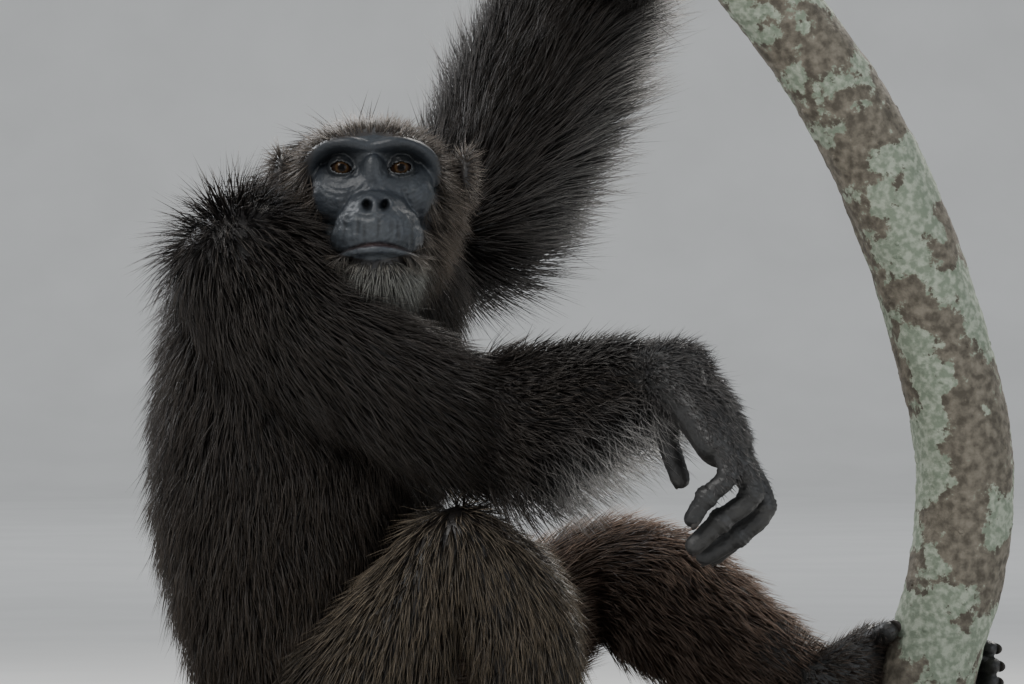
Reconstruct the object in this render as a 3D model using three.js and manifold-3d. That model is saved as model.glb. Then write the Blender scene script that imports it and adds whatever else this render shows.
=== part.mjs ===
// A seated adult male chimpanzee, life size, on a flat base, holding a curved tree stem.
// Millimetres, +Z up. X runs from the animal's back to the stem, and Y away from the side that is seen first.
// The origin is the middle of the underside of the base.
import * as THREE from 'three';
import { mergeVertices } from 'three/addons/utils/BufferGeometryUtils.js';
import Module from 'manifold-3d';

const wasm = await Module();
wasm.setup();

// Driving sizes
const GAP = 0.3; // kept between pieces that touch
const BASE = { length: 1000, depth: 780, thickness: 20, corner: 60 };
const ROD = { radius: 17, x: 361, y: 26, top: 78 };
const SEAT_LEVEL = BASE.thickness + GAP;
const EYE = { radius: 11.5, spacing: 54 };
const FACE = { x: -128, y: -148, z: 660 }; // midway between the two eyes, at their front
const FINGER = 9; // radius of a finger at its first joint
const TOE = 9.5;

// How deep the coat lies over each part, from the skin to the tips
const COAT = {
  torso: 32,
  neck: 20,
  upperArm: 30,
  forearm: 26,
  thigh: 26,
  shin: 20,
};

const CORE_REACH = 0.5; // share of the coat's depth that the core under its locks takes
const LOCK = {
  sides: 4, rings: 3, taper: 0.62, sunk: 7, length: [2.2, 2.9], width: [18, 25], thickness: [5, 7.5],
};

const group = new THREE.Group();
group.name = 'chimpanzee';

const COLOURS = {
  coat: 0x1d1816,
  browncoat: 0x3a2a22,
  face: 0x30343b,
  hand: 0x24211f,
  eye: 0x8a5a1c,
  bark: 0x6f6a58,
  base: 0x3b3a38,
  steel: 0x9a9a9a,
};

const materials = {};
for (const [name, color] of Object.entries(COLOURS)) {
  const metal = name === 'steel';
  materials[name] = new THREE.MeshStandardMaterial({
    color,
    roughness: name === 'eye' ? 0.1 : metal ? 0.35 : 0.85,
    metalness: metal ? 1 : 0,
  });
}

// Solids from closed geometries
function solid(geometry) {
  const bare = geometry.index ? geometry.clone() : geometry;
  for (const name of Object.keys(bare.attributes)) {
    if (name !== 'position') bare.deleteAttribute(name);
  }
  const merged = mergeVertices(bare, 1e-3);
  const mesh = new wasm.Mesh({
    numProp: 3,
    vertProperties: new Float32Array(merged.attributes.position.array),
    triVerts: new Uint32Array(merged.index.array),
  });
  mesh.merge();
  return new wasm.Manifold(mesh);
}

function union(pieces) {
  return pieces.reduce((whole, piece) => whole.add(piece));
}

function without(whole, cutters) {
  return cutters.reduce((rest, cutter) => rest.subtract(cutter), whole);
}

function largest(whole) {
  const bodies = whole.decompose();
  bodies.sort((a, b) => b.volume() - a.volume());
  return bodies[0];
}

function addNode(name, whole, material) {
  const { vertProperties, triVerts } = largest(whole).getMesh();
  const geometry = new THREE.BufferGeometry();
  geometry.setAttribute('position', new THREE.BufferAttribute(new Float32Array(vertProperties), 3));
  geometry.setIndex(new THREE.BufferAttribute(new Uint32Array(triVerts), 1));
  geometry.computeVertexNormals();
  const mesh = new THREE.Mesh(geometry, material);
  mesh.name = name;
  group.add(mesh);
}

// A blob is an ellipsoid, and turn is its rotation in degrees about X, Y and Z
function blob(centre, radii, turn = [0, 0, 0], sides = 16, rings = 12) {
  const geometry = new THREE.SphereGeometry(1, sides, rings);
  geometry.rotateX(Math.PI / 2);
  geometry.scale(...radii);
  const [x, y, z] = turn.map(THREE.MathUtils.degToRad);
  geometry.applyMatrix4(new THREE.Matrix4().makeRotationFromEuler(new THREE.Euler(x, y, z, 'ZYX')));
  geometry.translate(...centre);
  return solid(geometry);
}

// A tube's centre line and sizes from its stations [x, y, z, half width, half height].
// Its half width lies along side. at() gives a frame at t from 0 to 1.
function tube(stations, side = [0, 1, 0]) {
  const path = new THREE.CatmullRomCurve3(stations.map((s) => new THREE.Vector3(s[0], s[1], s[2])));
  const sizes = new THREE.CatmullRomCurve3(stations.map((s) => new THREE.Vector3(s[3], s[4] ?? s[3], 0)));
  const wide = new THREE.Vector3(...side).normalize();
  return {
    at(t) {
      const along = path.getTangent(t);
      const tall = new THREE.Vector3().crossVectors(along, wide).normalize();
      const across = new THREE.Vector3().crossVectors(tall, along).normalize();
      const size = sizes.getPoint(t);
      return { centre: path.getPoint(t), along, tall, across, width: size.x, height: size.y };
    },
  };
}

// A limb is a rounded tube, with grow added to both of its half sizes
function limb(stations, { grow = 0, side, sides = 12, rings = 12, capRings = 3, cap = 1 } = {}) {
  const line = tube(stations, side);
  const geometry = new THREE.SphereGeometry(1, sides, rings);
  const place = geometry.attributes.position;
  for (let i = 0; i < place.count; i += 1) {
    const ring = Math.round((Math.acos(THREE.MathUtils.clamp(place.getY(i), -1, 1)) / Math.PI) * rings);
    const turn = Math.atan2(place.getZ(i), place.getX(i));
    const t = THREE.MathUtils.clamp((ring - capRings) / (rings - 2 * capRings), 0, 1);
    const capAngle = (Math.min(ring, rings - ring, capRings) / capRings) * (Math.PI / 2);
    const { centre, along, tall, across, width, height } = line.at(t);
    const reach = (Math.min(width, height) + grow) * cap * Math.cos(capAngle);
    const push = ring <= capRings ? -reach : reach;
    const shrink = Math.sin(capAngle);
    centre.addScaledVector(along, push);
    centre.addScaledVector(across, (width + grow) * shrink * Math.cos(turn));
    centre.addScaledVector(tall, (height + grow) * shrink * Math.sin(turn));
    place.setXYZ(i, centre.x, centre.y, centre.z);
  }
  const made = solid(geometry);
  return made.volume() > 0 ? made : solid(flipped(geometry));
}

function flipped(geometry) {
  const index = geometry.index.array;
  for (let i = 0; i < index.length; i += 3) {
    [index[i], index[i + 1]] = [index[i + 1], index[i]];
  }
  return geometry;
}

// A steady draw between low and high, the same each time
let draw = 7;
function vary(low, high) {
  draw = (draw * 16807) % 2147483647;
  return low + (high - low) * (draw / 2147483647);
}

// A lock of coat is flat and tapers to its tip: it starts under the surface, leaves along lie and bends outwards
function lock({ root, lie, out, length, width, thickness, bend }, grow) {
  const geometry = new THREE.ConeGeometry(1, 1, LOCK.sides, LOCK.rings);
  const place = geometry.attributes.position;
  const along = lie.clone().normalize();
  const across = new THREE.Vector3().crossVectors(along, out).normalize();
  const face = new THREE.Vector3().crossVectors(across, along).normalize();
  const point = new THREE.Vector3();
  for (let i = 0; i < place.count; i += 1) {
    const height = place.getY(i) + 0.5;
    const full = height > 0.99 ? 0 : (1 - height) ** (LOCK.taper - 1);
    point.copy(root);
    point.addScaledVector(along, height * length + (height > 0.99 ? 4 * grow : 0) - (height < 0.01 ? grow : 0));
    point.addScaledVector(face, bend * height * height);
    point.addScaledVector(across, place.getX(i) * full * (width + 2 * grow));
    point.addScaledVector(face, place.getZ(i) * full * (thickness + 2 * grow));
    place.setXYZ(i, point.x, point.y, point.z);
  }
  const made = solid(geometry);
  return made.volume() > 0 ? made : solid(flipped(geometry));
}

// Locks in even rows over part of a tube, from t and turn low to high.
// flow is 1 for a coat that lies towards the end of the tube, and -1 for one that lies towards its start.
function locksOn(stations, coat, { side, count, t, turn, flow = 1, reach = 1, down = 0 }) {
  const line = tube(stations, side);
  const golden = 0.618034;
  return Array.from({ length: count }, (_, i) => {
    const at = line.at(t[0] + (t[1] - t[0]) * ((i + 0.5) / count));
    const angle = THREE.MathUtils.degToRad(turn[0] + (turn[1] - turn[0]) * ((i * golden + 0.5) % 1));
    const out = new THREE.Vector3()
      .addScaledVector(at.across, Math.cos(angle) / at.width)
      .addScaledVector(at.tall, Math.sin(angle) / at.height)
      .normalize();
    const depth = coat * (1 - CORE_REACH) + LOCK.sunk;
    const root = at.centre.clone()
      .addScaledVector(at.across, Math.cos(angle) * (at.width - depth))
      .addScaledVector(at.tall, Math.sin(angle) * (at.height - depth));
    const length = coat * vary(...LOCK.length) * reach;
    const lie = at.along.clone().multiplyScalar(flow * length)
      .addScaledVector(out, depth * vary(0.7, 1) * reach);
    lie.z -= down * length;
    return {
      root, lie, out, length, width: vary(...LOCK.width), thickness: vary(...LOCK.thickness), bend: depth * 0.15,
    };
  });
}

// A coated limb has a core that reaches part of the way to the tips, and its locks
function coated(stations, coat, rows, options) {
  const lists = rows.map((row) => locksOn(stations, coat, { side: options.side, ...row }));
  return (grow) => {
    const core = limb(stations, { ...options, grow: grow - coat * (1 - CORE_REACH) });
    return union([core, ...lists.flat().map((one) => lock(one, grow))]);
  };
}

// A slab is a box between two corners
function slab(low, high) {
  const size = high.map((value, i) => value - low[i]);
  const middle = high.map((value, i) => (value + low[i]) / 2);
  return solid(new THREE.BoxGeometry(...size).translate(...middle));
}

// The base is a plate with round corners
function baseForm(grow) {
  const { length, depth, thickness, corner } = BASE;
  const x = length / 2;
  const y = depth / 2;
  const outline = new THREE.Shape();
  outline.moveTo(-x + corner, -y);
  outline.lineTo(x - corner, -y);
  outline.absarc(x - corner, -y + corner, corner, -Math.PI / 2, 0, false);
  outline.absarc(x - corner, y - corner, corner, 0, Math.PI / 2, false);
  outline.absarc(-x + corner, y - corner, corner, Math.PI / 2, Math.PI, false);
  outline.absarc(-x + corner, -y + corner, corner, Math.PI, 1.5 * Math.PI, false);
  return solid(new THREE.ExtrudeGeometry(outline, {
    depth: thickness + grow, bevelEnabled: false, curveSegments: 3,
  }));
}

// The stem is cut off above the rod and above the raised hand
const STEM = [
  [358, 28, 62, 46],
  [372, 22, 132, 46],
  [386, 12, 184, 45],
  [397, 8, 228, 45],
  [412, 4, 282, 46],
  [421, 0, 355, 46.5],
  [417, -6, 420, 46.5],
  [399, -14, 495, 46],
  [370, -24, 588, 44.5],
  [330, -34, 681, 43],
  [279, -44, 764, 40.5],
  [235, -52, 820, 38.5],
  [188, -58, 873, 37],
  [147, -62, 913, 36],
  [92, -66, 968, 34],
];
const STEM_ENDS = { foot: 78, lower: 420, upper: 700, top: 952 };

function stemForm(grow) {
  return limb(STEM, { grow, sides: 11, rings: 22, capRings: 2, cap: 0.4 });
}

function stemLength(from, to) {
  const half = 700;
  return stemForm(0).intersect(slab([-half, -half, from], [half, half, to]));
}

// The torso, from the seat to the base of the neck
const ACROSS = [0.54, 0.84, 0]; // from the right shoulder to the left one
const TORSO = [
  [-184, 12, 78, 128, 104],
  [-192, 12, 190, 146, 116],
  [-199, 8, 330, 168, 126],
  [-190, 2, 470, 182, 128],
  [-166, -6, 570, 168, 112],
  [-142, -22, 640, 96, 84],
];

const torsoForm = coated(TORSO, COAT.torso, [
  { count: 17, t: [0.12, 0.98], turn: [40, 215], flow: -1 },
  { count: 6, t: [0.72, 0.98], turn: [150, 260], flow: -1, reach: 1.15 },
], { side: ACROSS, sides: 14, rings: 12, capRings: 3, cap: 0.75 });

const NECK = [
  [-146, -18, 596, 78, 70],
  [-133, -52, 632, 72, 66],
];

function neckForm(grow) {
  return limb(NECK, { grow, side: [1, 0, 0], sides: 14, rings: 8 });
}

// The head: braincase, brow, cheeks, muzzle and jaw
function headForm(grow) {
  const { x, y, z } = FACE;
  const g = grow;
  return union([
    blob([x, y + 86, z - 28], [98 + g, 84 + g, 78 + g], [0, 0, 0], 16, 11),
    blob([x + 2, y + 62, z - 78], [77 + g, 66 + g, 60 + g], [0, 0, 0], 14, 9),
    limb(
      [[x - 50, y + 20, z + 6, 16], [x - 27, y - 1, z + 19, 14], [x, y - 4, z + 18, 13],
        [x + 27, y - 1, z + 19, 14], [x + 50, y + 20, z + 6, 16]],
      { grow: g, side: [0, 0, 1], sides: 6, rings: 10 },
    ),
    blob([x + 2, y + 12, z - 22], [46 + g, 22 + g, 34 + g], [0, 0, 0], 10, 7),
    blob([x + 6, y + 2, z - 60], [46 + g, 50 + g, 40 + g], [-8, 0, 0], 14, 9),
    blob([x + 6, y + 12, z - 88], [40 + g, 48 + g, 34 + g], [-10, 0, 0], 12, 8),
    blob([x + 3, y - 8, z - 28], [15 + g, 16 + g, 18 + g], [20, 0, 0], 8, 6),
    ...WHISKERS.map((one) => lock(one, g)),
  ]);
}

// Cheek whiskers, beard and the hair of the crown, each lock rooted on the head at a direction from its middle
function whiskers() {
  const { x, y, z } = FACE;
  const made = [];
  const put = (centre, radii, direction, lie, length) => {
    const ray = new THREE.Vector3(...direction).normalize();
    const out = ray.clone().divide(new THREE.Vector3(...radii)).normalize();
    const root = ray.clone().multiply(new THREE.Vector3(...radii)).add(new THREE.Vector3(...centre));
    root.addScaledVector(out, -LOCK.sunk);
    made.push({
      root, lie: new THREE.Vector3(...lie).multiplyScalar(length).addScaledVector(out, LOCK.sunk), out,
      length: length + LOCK.sunk, width: vary(9, 12), thickness: vary(3.5, 5), bend: 3,
    });
  };
  for (const which of [-1, 1]) {
    for (let i = 0; i < 5; i += 1) {
      const down = i / 4;
      put([x + 2, y + 62, z - 66], [82, 62, 60], [which, -0.35 + 0.2 * (i % 2), 0.5 - 1.1 * down],
        [which * 0.45, 0.35, -0.85], vary(26, 38));
    }
    for (let i = 0; i < 3; i += 1) {
      put([x, y + 86, z - 28], [98, 84, 78], [which, 0.25 * i - 0.2, 0.75 - 0.25 * i],
        [which * 0.25, 0.8, -0.5], vary(30, 40));
    }
  }
  for (let i = 0; i < 7; i += 1) {
    const across = (i - 3) / 3;
    put([x + 6, y + 14, z - 88], [42, 46, 32], [across * 0.9, -0.5 + 0.35 * (i % 2), -0.8],
      [across * 0.25, -0.1, -1], vary(26, 34));
  }
  return made;
}

const WHISKERS = whiskers();

function eyeCentre(which) {
  return [FACE.x + which * (EYE.spacing / 2), FACE.y + EYE.radius + 1, FACE.z];
}

function headDetails(head) {
  const { x, y, z } = FACE;
  const cuts = [];
  const adds = [];
  for (const which of [-1, 1]) {
    const [ex, ey, ez] = eyeCentre(which);
    cuts.push(blob([ex, ey - 14, ez], [16, 14, 11], [0, 0, which * 12], 12, 6));
    const lid = (height, radius) => limb(
      [[ex - 14, ey - 5, ez, radius], [ex - 6, ey - 11, ez + height * 0.8, radius],
        [ex + 6, ey - 11, ez + height * 0.8, radius], [ex + 14, ey - 5, ez, radius]],
      { side: [0, 0, 1], sides: 5, rings: 8, capRings: 2 },
    );
    adds.push(lid(9, 3.4), lid(-8, 3));
  }
  const mouth = [[x - 34, y - 24, z - 76], [x - 16, y - 42, z - 71], [x + 6, y - 48, z - 68],
    [x + 28, y - 42, z - 71], [x + 46, y - 24, z - 76]];
  const lip = (lift, radius) => limb(
    mouth.map(([px, py, pz]) => [px, py + 2, pz + lift, radius]),
    { side: [0, 0, 1], sides: 6, rings: 10, capRings: 2 },
  );
  adds.push(lip(5, 6), lip(-6, 6));
  const line = limb(
    mouth.map(([px, py, pz]) => [px, py - 3, pz, 1.6, 7]),
    { side: [0, 0, 1], sides: 4, rings: 10, capRings: 2 },
  );
  const nostrils = [-1, 1].map((which) => blob(
    [x + 5 + which * 8, y - 23, z - 35], [5, 10, 6], [-30, 0, which * 12], 8, 6,
  ));
  return without(union([without(head, cuts), ...adds]), [line, ...nostrils]);
}

const EAR = { width: 21, height: 28, thickness: 11, wall: 3 };

function earForm(which, grow) {
  const centre = [FACE.x + which * 96, FACE.y + 84, FACE.z - 4];
  const turn = [0, which * 12, which * -28];
  const { width, height, thickness, wall } = EAR;
  const shell = blob(centre, [thickness + grow, width + grow, height + grow], turn, 12, 8);
  const cup = blob(
    [centre[0] + which * 6, centre[1] - 9, centre[2]],
    [thickness - wall, width - wall * 1.6, height - wall * 1.6],
    turn,
    10,
    6,
  );
  return shell.subtract(cup);
}

// The right arm lies on the right knee, and its hand hangs
const UPPER_ARM_RIGHT = [
  [-254, -124, 580, 60, 76],
  [-206, -140, 524, 64, 80],
  [-110, -138, 470, 66, 80],
  [-30, -116, 424, 58, 74],
];
const FOREARM_RIGHT = [
  [-14, -114, 420, 56, 72],
  [60, -172, 438, 50, 64],
  [112, -226, 464, 38, 44],
  [146, -268, 474, 28, 29],
];
const PALM_RIGHT = [
  [148, -274, 472, 29, 23],
  [172, -290, 446, 37, 21],
  [190, -298, 416, 42, 17],
];
const DIGITS_RIGHT = {
  little: [[181, -324, 416], [190, -330, 386], [171, -330, 366], [159, -328, 347]],
  ring: [[192, -311, 407], [211, -315, 369], [184, -315, 345], [161, -313, 323]],
  middle: [[200, -292, 402], [223, -294, 357], [199, -293, 331], [171, -292, 313]],
  index: [[201, -272, 404], [217, -272, 362], [203, -270, 333], [180, -269, 313]],
  thumb: [[142, -262, 452], [138, -252, 420], [150, -248, 380]],
};

function digit(points, radius, grow) {
  const last = points.length - 1;
  const stations = points.map((p, i) => [...p, radius * (1 - 0.22 * (i / last))]);
  return limb(stations, { grow, side: [0.2, 1, 0], sides: 6, rings: 8, capRings: 2 });
}

function handRightForm(grow) {
  const digits = Object.entries(DIGITS_RIGHT).map(([name, points]) => (
    digit(points, name === 'little' ? FINGER - 1 : FINGER, grow)
  ));
  return union([limb(PALM_RIGHT, { grow, side: [0, 1, 0], sides: 9, rings: 8 }), ...digits]);
}

// The left arm is raised, its elbow out to the side, and its hand holds the stem
const UPPER_ARM_LEFT = [
  [-52, 132, 610, 78, 74],
  [-20, 160, 662, 82, 72],
  [24, 204, 752, 84, 66],
  [70, 256, 846, 74, 56],
];
const FOREARM_LEFT = [
  [78, 268, 862, 64, 56],
  [104, 186, 884, 58, 50],
  [124, 112, 896, 44, 40],
  [134, 66, 902, 31, 28],
];
const GRIP = { x: 147, y: -62, z: 913, stem: 36, spread: 19 };
const STEM_AXIS = new THREE.Vector3(-0.7, 0, 0.71).normalize();
const GRIP_OVER = new THREE.Vector3(0.71, 0, 0.7).normalize();

// A place round the stem: angle 0 is its far side, and 90 degrees is over its top
function roundStem(angle, distance, shift) {
  const a = THREE.MathUtils.degToRad(angle);
  const place = new THREE.Vector3(GRIP.x, GRIP.y, GRIP.z);
  place.y += distance * Math.cos(a);
  place.addScaledVector(GRIP_OVER, distance * Math.sin(a));
  place.addScaledVector(STEM_AXIS, shift);
  return place.toArray();
}

function handLeftForm(grow) {
  const out = GRIP.stem + FINGER - 1;
  const fingers = [1.5, 0.5, -0.5, -1.5].map((row, i) => {
    const shift = row * GRIP.spread;
    const curl = [158, 172, 168, 146][i];
    const points = [8, 40, 75, 110, curl].map((angle) => roundStem(angle, out, shift));
    return digit(points, FINGER, grow);
  });
  const thumb = digit(
    [roundStem(8, out + 6, 22), roundStem(-35, out + 2, 34), roundStem(-75, out, 38)], FINGER, grow,
  );
  const heel = roundStem(-8, out + 34, -4);
  const ball = roundStem(14, out + 4, 0);
  const palm = limb(
    [[136, 58, 903, 29, 24], [...heel, 34, 20], [...ball, 38, 14]],
    { grow, side: STEM_AXIS.toArray(), sides: 9, rings: 8 },
  );
  return union([palm, thumb, ...fingers]);
}

// The right leg is drawn up with its sole on the base
const THIGH_RIGHT = [
  [-186, -72, 108, 74, 84],
  [-146, -94, 172, 74, 78],
  [-102, -108, 236, 66, 70],
  [-62, -112, 312, 50, 50],
];
const SHIN_RIGHT = [
  [-46, -114, 316, 48, 50],
  [0, -118, 258, 52, 62],
  [18, -122, 176, 44, 52],
  [20, -124, 96, 31, 34],
];
const FORWARD = [0.86, -0.51];
const HEEL_RIGHT = [-8, -112];

function onFoot(along, inward, height) {
  const [fx, fy] = FORWARD;
  return [HEEL_RIGHT[0] + fx * along - fy * inward, HEEL_RIGHT[1] + fy * along + fx * inward, height];
}

function footRightForm(grow) {
  const side = [-FORWARD[1], FORWARD[0], 0];
  const sole = limb(
    [[...onFoot(14, 0, 48), 29, 32], [...onFoot(60, 0, 48), 32, 32], [...onFoot(120, -2, 36), 39, 20],
      [...onFoot(150, -4, 31), 40, 14]],
    { grow, side, sides: 9, rings: 9 },
  );
  const toes = [21, 4, -14, -31].map((inward, i) => {
    const reach = [232, 240, 232, 214][i];
    const points = [onFoot(150, inward, 32), onFoot(190, inward * 1.08, 36), onFoot(reach, inward * 1.1, 28)];
    return digit(points, TOE, grow);
  });
  const bigToe = digit(
    [onFoot(70, 20, 36), onFoot(112, 48, 33), onFoot(150, 62, 30)], TOE + 3, grow,
  );
  const floor = slab([-600, -600, -100], [600, 600, SEAT_LEVEL - grow]);
  return union([sole, bigToe, ...toes]).subtract(floor);
}

// The left leg is stretched out to the stem, which its foot holds
const THIGH_LEFT = [
  [-138, 74, 110, 78, 86],
  [-70, 96, 166, 76, 84],
  [10, 116, 232, 68, 76],
  [72, 126, 280, 56, 60],
];
const SHIN_LEFT = [
  [86, 124, 284, 54, 58],
  [138, 96, 268, 56, 68],
  [194, 66, 236, 50, 60],
  [246, 38, 208, 40, 46],
  [284, 18, 192, 27, 29],
];
const FOOT_GRIP = { x: 397, y: 8, stem: 45 };
const FOOT_LEFT = [
  [288, 10, 180, 30, 26],
  [316, 12, 196, 30, 26],
  [340, 26, 206, 34, 20],
];

// A place round the stem at the foot: angle 0 is its near side, and 90 degrees is the side of the heel
function roundFootStem(angle, distance, height) {
  const a = THREE.MathUtils.degToRad(angle);
  return [FOOT_GRIP.x - distance * Math.sin(a), FOOT_GRIP.y - distance * Math.cos(a), height];
}

function footLeftForm(grow) {
  const out = FOOT_GRIP.stem + TOE - 1;
  const sole = limb(FOOT_LEFT, { grow, side: [0, 0, 1], sides: 9, rings: 8 });
  const toes = [0, 1, 2, 3].map((row) => {
    const height = 224 - row * 15.5;
    const end = [246, 254, 250, 238][row];
    const points = [110, 145, 180, 215, end].map((angle) => roundFootStem(angle, out, height - (angle - 110) * 0.06));
    return digit(points, TOE, grow);
  });
  const bigToe = digit(
    [[322, 2, 212], roundFootStem(88, out + 3, 226), roundFootStem(58, out + 2, 234)], TOE + 3, grow,
  );
  return union([sole, bigToe, ...toes]);
}

const upperArmRight = coated(UPPER_ARM_RIGHT, COAT.upperArm, [
  { count: 9, t: [0, 0.85], turn: [100, 250] },
], { side: [0, 1, 0], sides: 10, rings: 9 });
const forearmRight = coated(FOREARM_RIGHT, COAT.forearm, [
  { count: 10, t: [0.1, 0.8], turn: [0, 360], flow: -1 },
], { side: [0.5, 0.6, -0.1], sides: 10, rings: 9 });
const upperArmLeft = coated(UPPER_ARM_LEFT, COAT.upperArm, [
  { count: 16, t: [0.05, 0.9], turn: [0, 360], flow: 1 },
], { side: [1, 0, -0.4], sides: 10, rings: 9 });
const forearmLeft = coated(FOREARM_LEFT, COAT.forearm, [
  { count: 9, t: [0.15, 0.8], turn: [0, 360], flow: -1 },
], { side: [1, 0, 0], sides: 10, rings: 9 });
const thighRight = coated(THIGH_RIGHT, COAT.thigh, [
  { count: 8, t: [0.2, 0.8], turn: [170, 300] },
], { side: [0, 1, 0], sides: 10, rings: 9 });
const shinRight = coated(SHIN_RIGHT, COAT.shin, [
  { count: 7, t: [0.2, 0.8], turn: [0, 360] },
], { side: [0, 1, 0], sides: 10, rings: 9 });
const thighLeft = coated(THIGH_LEFT, COAT.thigh, [
  { count: 7, t: [0.3, 0.8], turn: [0, 200] },
], { side: [0, 1, 0], sides: 10, rings: 9 });
const shinLeft = coated(SHIN_LEFT, COAT.shin, [
  { count: 8, t: [0.2, 0.8], turn: [0, 360] },
], { side: [0, 1, 0], sides: 10, rings: 9 });

// The nodes, each cut clear of those before it
const base = baseForm(0);
const baseClear = baseForm(GAP);
addNode('stand_base', base, materials.base);

const rodHeight = ROD.top - BASE.thickness - 2 * GAP;
const rod = new THREE.CylinderGeometry(ROD.radius, ROD.radius, rodHeight, 24)
  .rotateX(Math.PI / 2)
  .translate(ROD.x, ROD.y, BASE.thickness + GAP + rodHeight / 2);
addNode('stand_rod', solid(rod), materials.steel);

const { foot, lower, upper, top } = STEM_ENDS;
addNode('perch_lower', stemLength(foot, lower - GAP / 2), materials.bark);
addNode('perch_middle', stemLength(lower + GAP / 2, upper - GAP / 2), materials.bark);
addNode('perch_upper', stemLength(upper + GAP / 2, top), materials.bark);

const cutters = [baseClear, stemForm(GAP)];

function addFleshNode(name, form, material, details = (whole) => whole) {
  addNode(name, without(details(form(0)), cutters), material);
  cutters.push(form(GAP));
}

addFleshNode('torso', torsoForm, materials.coat);
addFleshNode('neck', neckForm, materials.coat);
for (const which of [-1, 1]) {
  const centre = eyeCentre(which);
  const side = which < 0 ? 'right' : 'left';
  addNode(`eye_${side}`, blob(centre, Array(3).fill(EYE.radius), [0, 0, 0], 10, 7), materials.eye);
  cutters.push(blob(centre, Array(3).fill(EYE.radius + GAP), [0, 0, 0], 10, 7));
}
addFleshNode('head', headForm, materials.face, headDetails);
cutters.push(headDetails(headForm(GAP)));
addFleshNode('ear_right', (grow) => earForm(-1, grow), materials.face);
addFleshNode('ear_left', (grow) => earForm(1, grow), materials.face);
addFleshNode('upper_arm_right', upperArmRight, materials.coat);
addFleshNode('thigh_right', thighRight, materials.coat);
addFleshNode('forearm_right', forearmRight, materials.coat);
addFleshNode('hand_right', handRightForm, materials.hand);
addFleshNode('shin_right', shinRight, materials.coat);
addFleshNode('foot_right', footRightForm, materials.hand);
addFleshNode('upper_arm_left', upperArmLeft, materials.coat);
addFleshNode('forearm_left', forearmLeft, materials.coat);
addFleshNode('hand_left', handLeftForm, materials.hand);
addFleshNode('thigh_left', thighLeft, materials.browncoat);
addFleshNode('shin_left', shinLeft, materials.browncoat);
addFleshNode('foot_left', footLeftForm, materials.hand);

export default group;
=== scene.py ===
# A seated adult male chimpanzee on a flat base, holding a curved stem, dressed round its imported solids.
# Stations are in millimetres, as in the solids, and every mesh is made in metres.
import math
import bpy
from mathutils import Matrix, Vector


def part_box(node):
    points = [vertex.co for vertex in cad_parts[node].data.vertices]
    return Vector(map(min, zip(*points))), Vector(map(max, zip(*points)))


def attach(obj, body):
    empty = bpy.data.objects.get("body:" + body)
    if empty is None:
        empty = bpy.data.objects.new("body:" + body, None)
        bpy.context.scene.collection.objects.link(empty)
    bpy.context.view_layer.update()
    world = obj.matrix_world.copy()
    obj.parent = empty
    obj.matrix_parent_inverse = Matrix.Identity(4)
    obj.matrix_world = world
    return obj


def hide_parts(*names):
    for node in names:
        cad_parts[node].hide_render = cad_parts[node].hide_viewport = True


bl_info = {
    "name": "Seated chimpanzee",
    "version": (1, 0, 0),
    "blender": (4, 5, 0),
    "location": "View3D > Sidebar > Chimpanzee",
    "description": "Skin, coat, face, eyes, nails, stem and base of a life-size still chimpanzee",
    "category": "Add Mesh",
}

import bmesh
import bpy
import numpy as np
from mathutils import Vector

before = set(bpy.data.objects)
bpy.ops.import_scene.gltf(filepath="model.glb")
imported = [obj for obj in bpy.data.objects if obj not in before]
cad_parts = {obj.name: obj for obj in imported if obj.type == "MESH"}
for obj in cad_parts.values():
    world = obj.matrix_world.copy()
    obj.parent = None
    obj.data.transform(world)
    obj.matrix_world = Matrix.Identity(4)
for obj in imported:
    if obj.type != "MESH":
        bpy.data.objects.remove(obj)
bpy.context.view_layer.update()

# Sizes and places, in millimetres
MM = 0.001
BASE_TOP = 20  # height of the base's upper face
FACE = np.array([-128.0, -148.0, 660.0])  # midway between the two eyes, at their front
EYE_RADIUS = 11.5
EYE_SPACING = 54.0
GAZE = Vector((0.06, -1.0, 0.02)).normalized()
LIPS_X = FACE[0] + 6  # the middle of the lips
NOSTRIL = {"middle": 5, "apart": 7.8, "below": 34.5, "half_width": 4.6, "half_height": 5.4}
SKULL = FACE + [0, 86, -30]
SKULL_RADII = (76, 74, 68)
SHOULDER = np.array([-250, -130, 610])  # where the near shoulder's raised hair grows from
FINGER = 9.0
TOE = 9.5
ATLAS = 4  # the coat's map has this many cells a side, one for each part of the body
PATCH = 0.003  # size of one tuft's patch on that map
LIMIT = 190_000  # triangles in one coat piece
BANDS = 2  # rings of points in a tuft, below its tip

# Stations [x, y, z, half width, half height], out to the tips of the coat
TORSO = [[-182, 12, 78, 120, 96], [-186, 12, 190, 136, 106], [-199, 8, 330, 168, 126],
         [-190, 2, 470, 182, 128], [-166, -6, 570, 168, 112], [-142, -22, 640, 96, 84]]
NECK = [[-146, -18, 596, 78, 70], [-133, -52, 632, 72, 66]]
UPPER_ARM_RIGHT = [[-254, -124, 582, 60, 76], [-206, -140, 520, 64, 76], [-110, -138, 463, 64, 71],
                   [-30, -116, 424, 58, 74]]
FOREARM_RIGHT = [[-14, -114, 426, 56, 76], [60, -172, 446, 50, 66], [112, -226, 466, 40, 48],
                 [146, -268, 474, 28, 29]]
PALM_RIGHT = [[148, -274, 472, 29, 23], [172, -290, 446, 37, 21], [190, -298, 416, 42, 17]]
DIGITS_RIGHT = {
    "little": [[181, -324, 416], [190, -330, 386], [171, -330, 366], [159, -328, 347]],
    "ring": [[192, -311, 407], [211, -315, 369], [184, -315, 345], [161, -313, 323]],
    "middle": [[200, -292, 402], [223, -294, 357], [199, -293, 331], [171, -292, 313]],
    "index": [[201, -272, 404], [217, -272, 362], [203, -270, 333], [180, -269, 313]],
    "thumb": [[142, -262, 452], [138, -252, 420], [150, -248, 380]],
}
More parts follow.
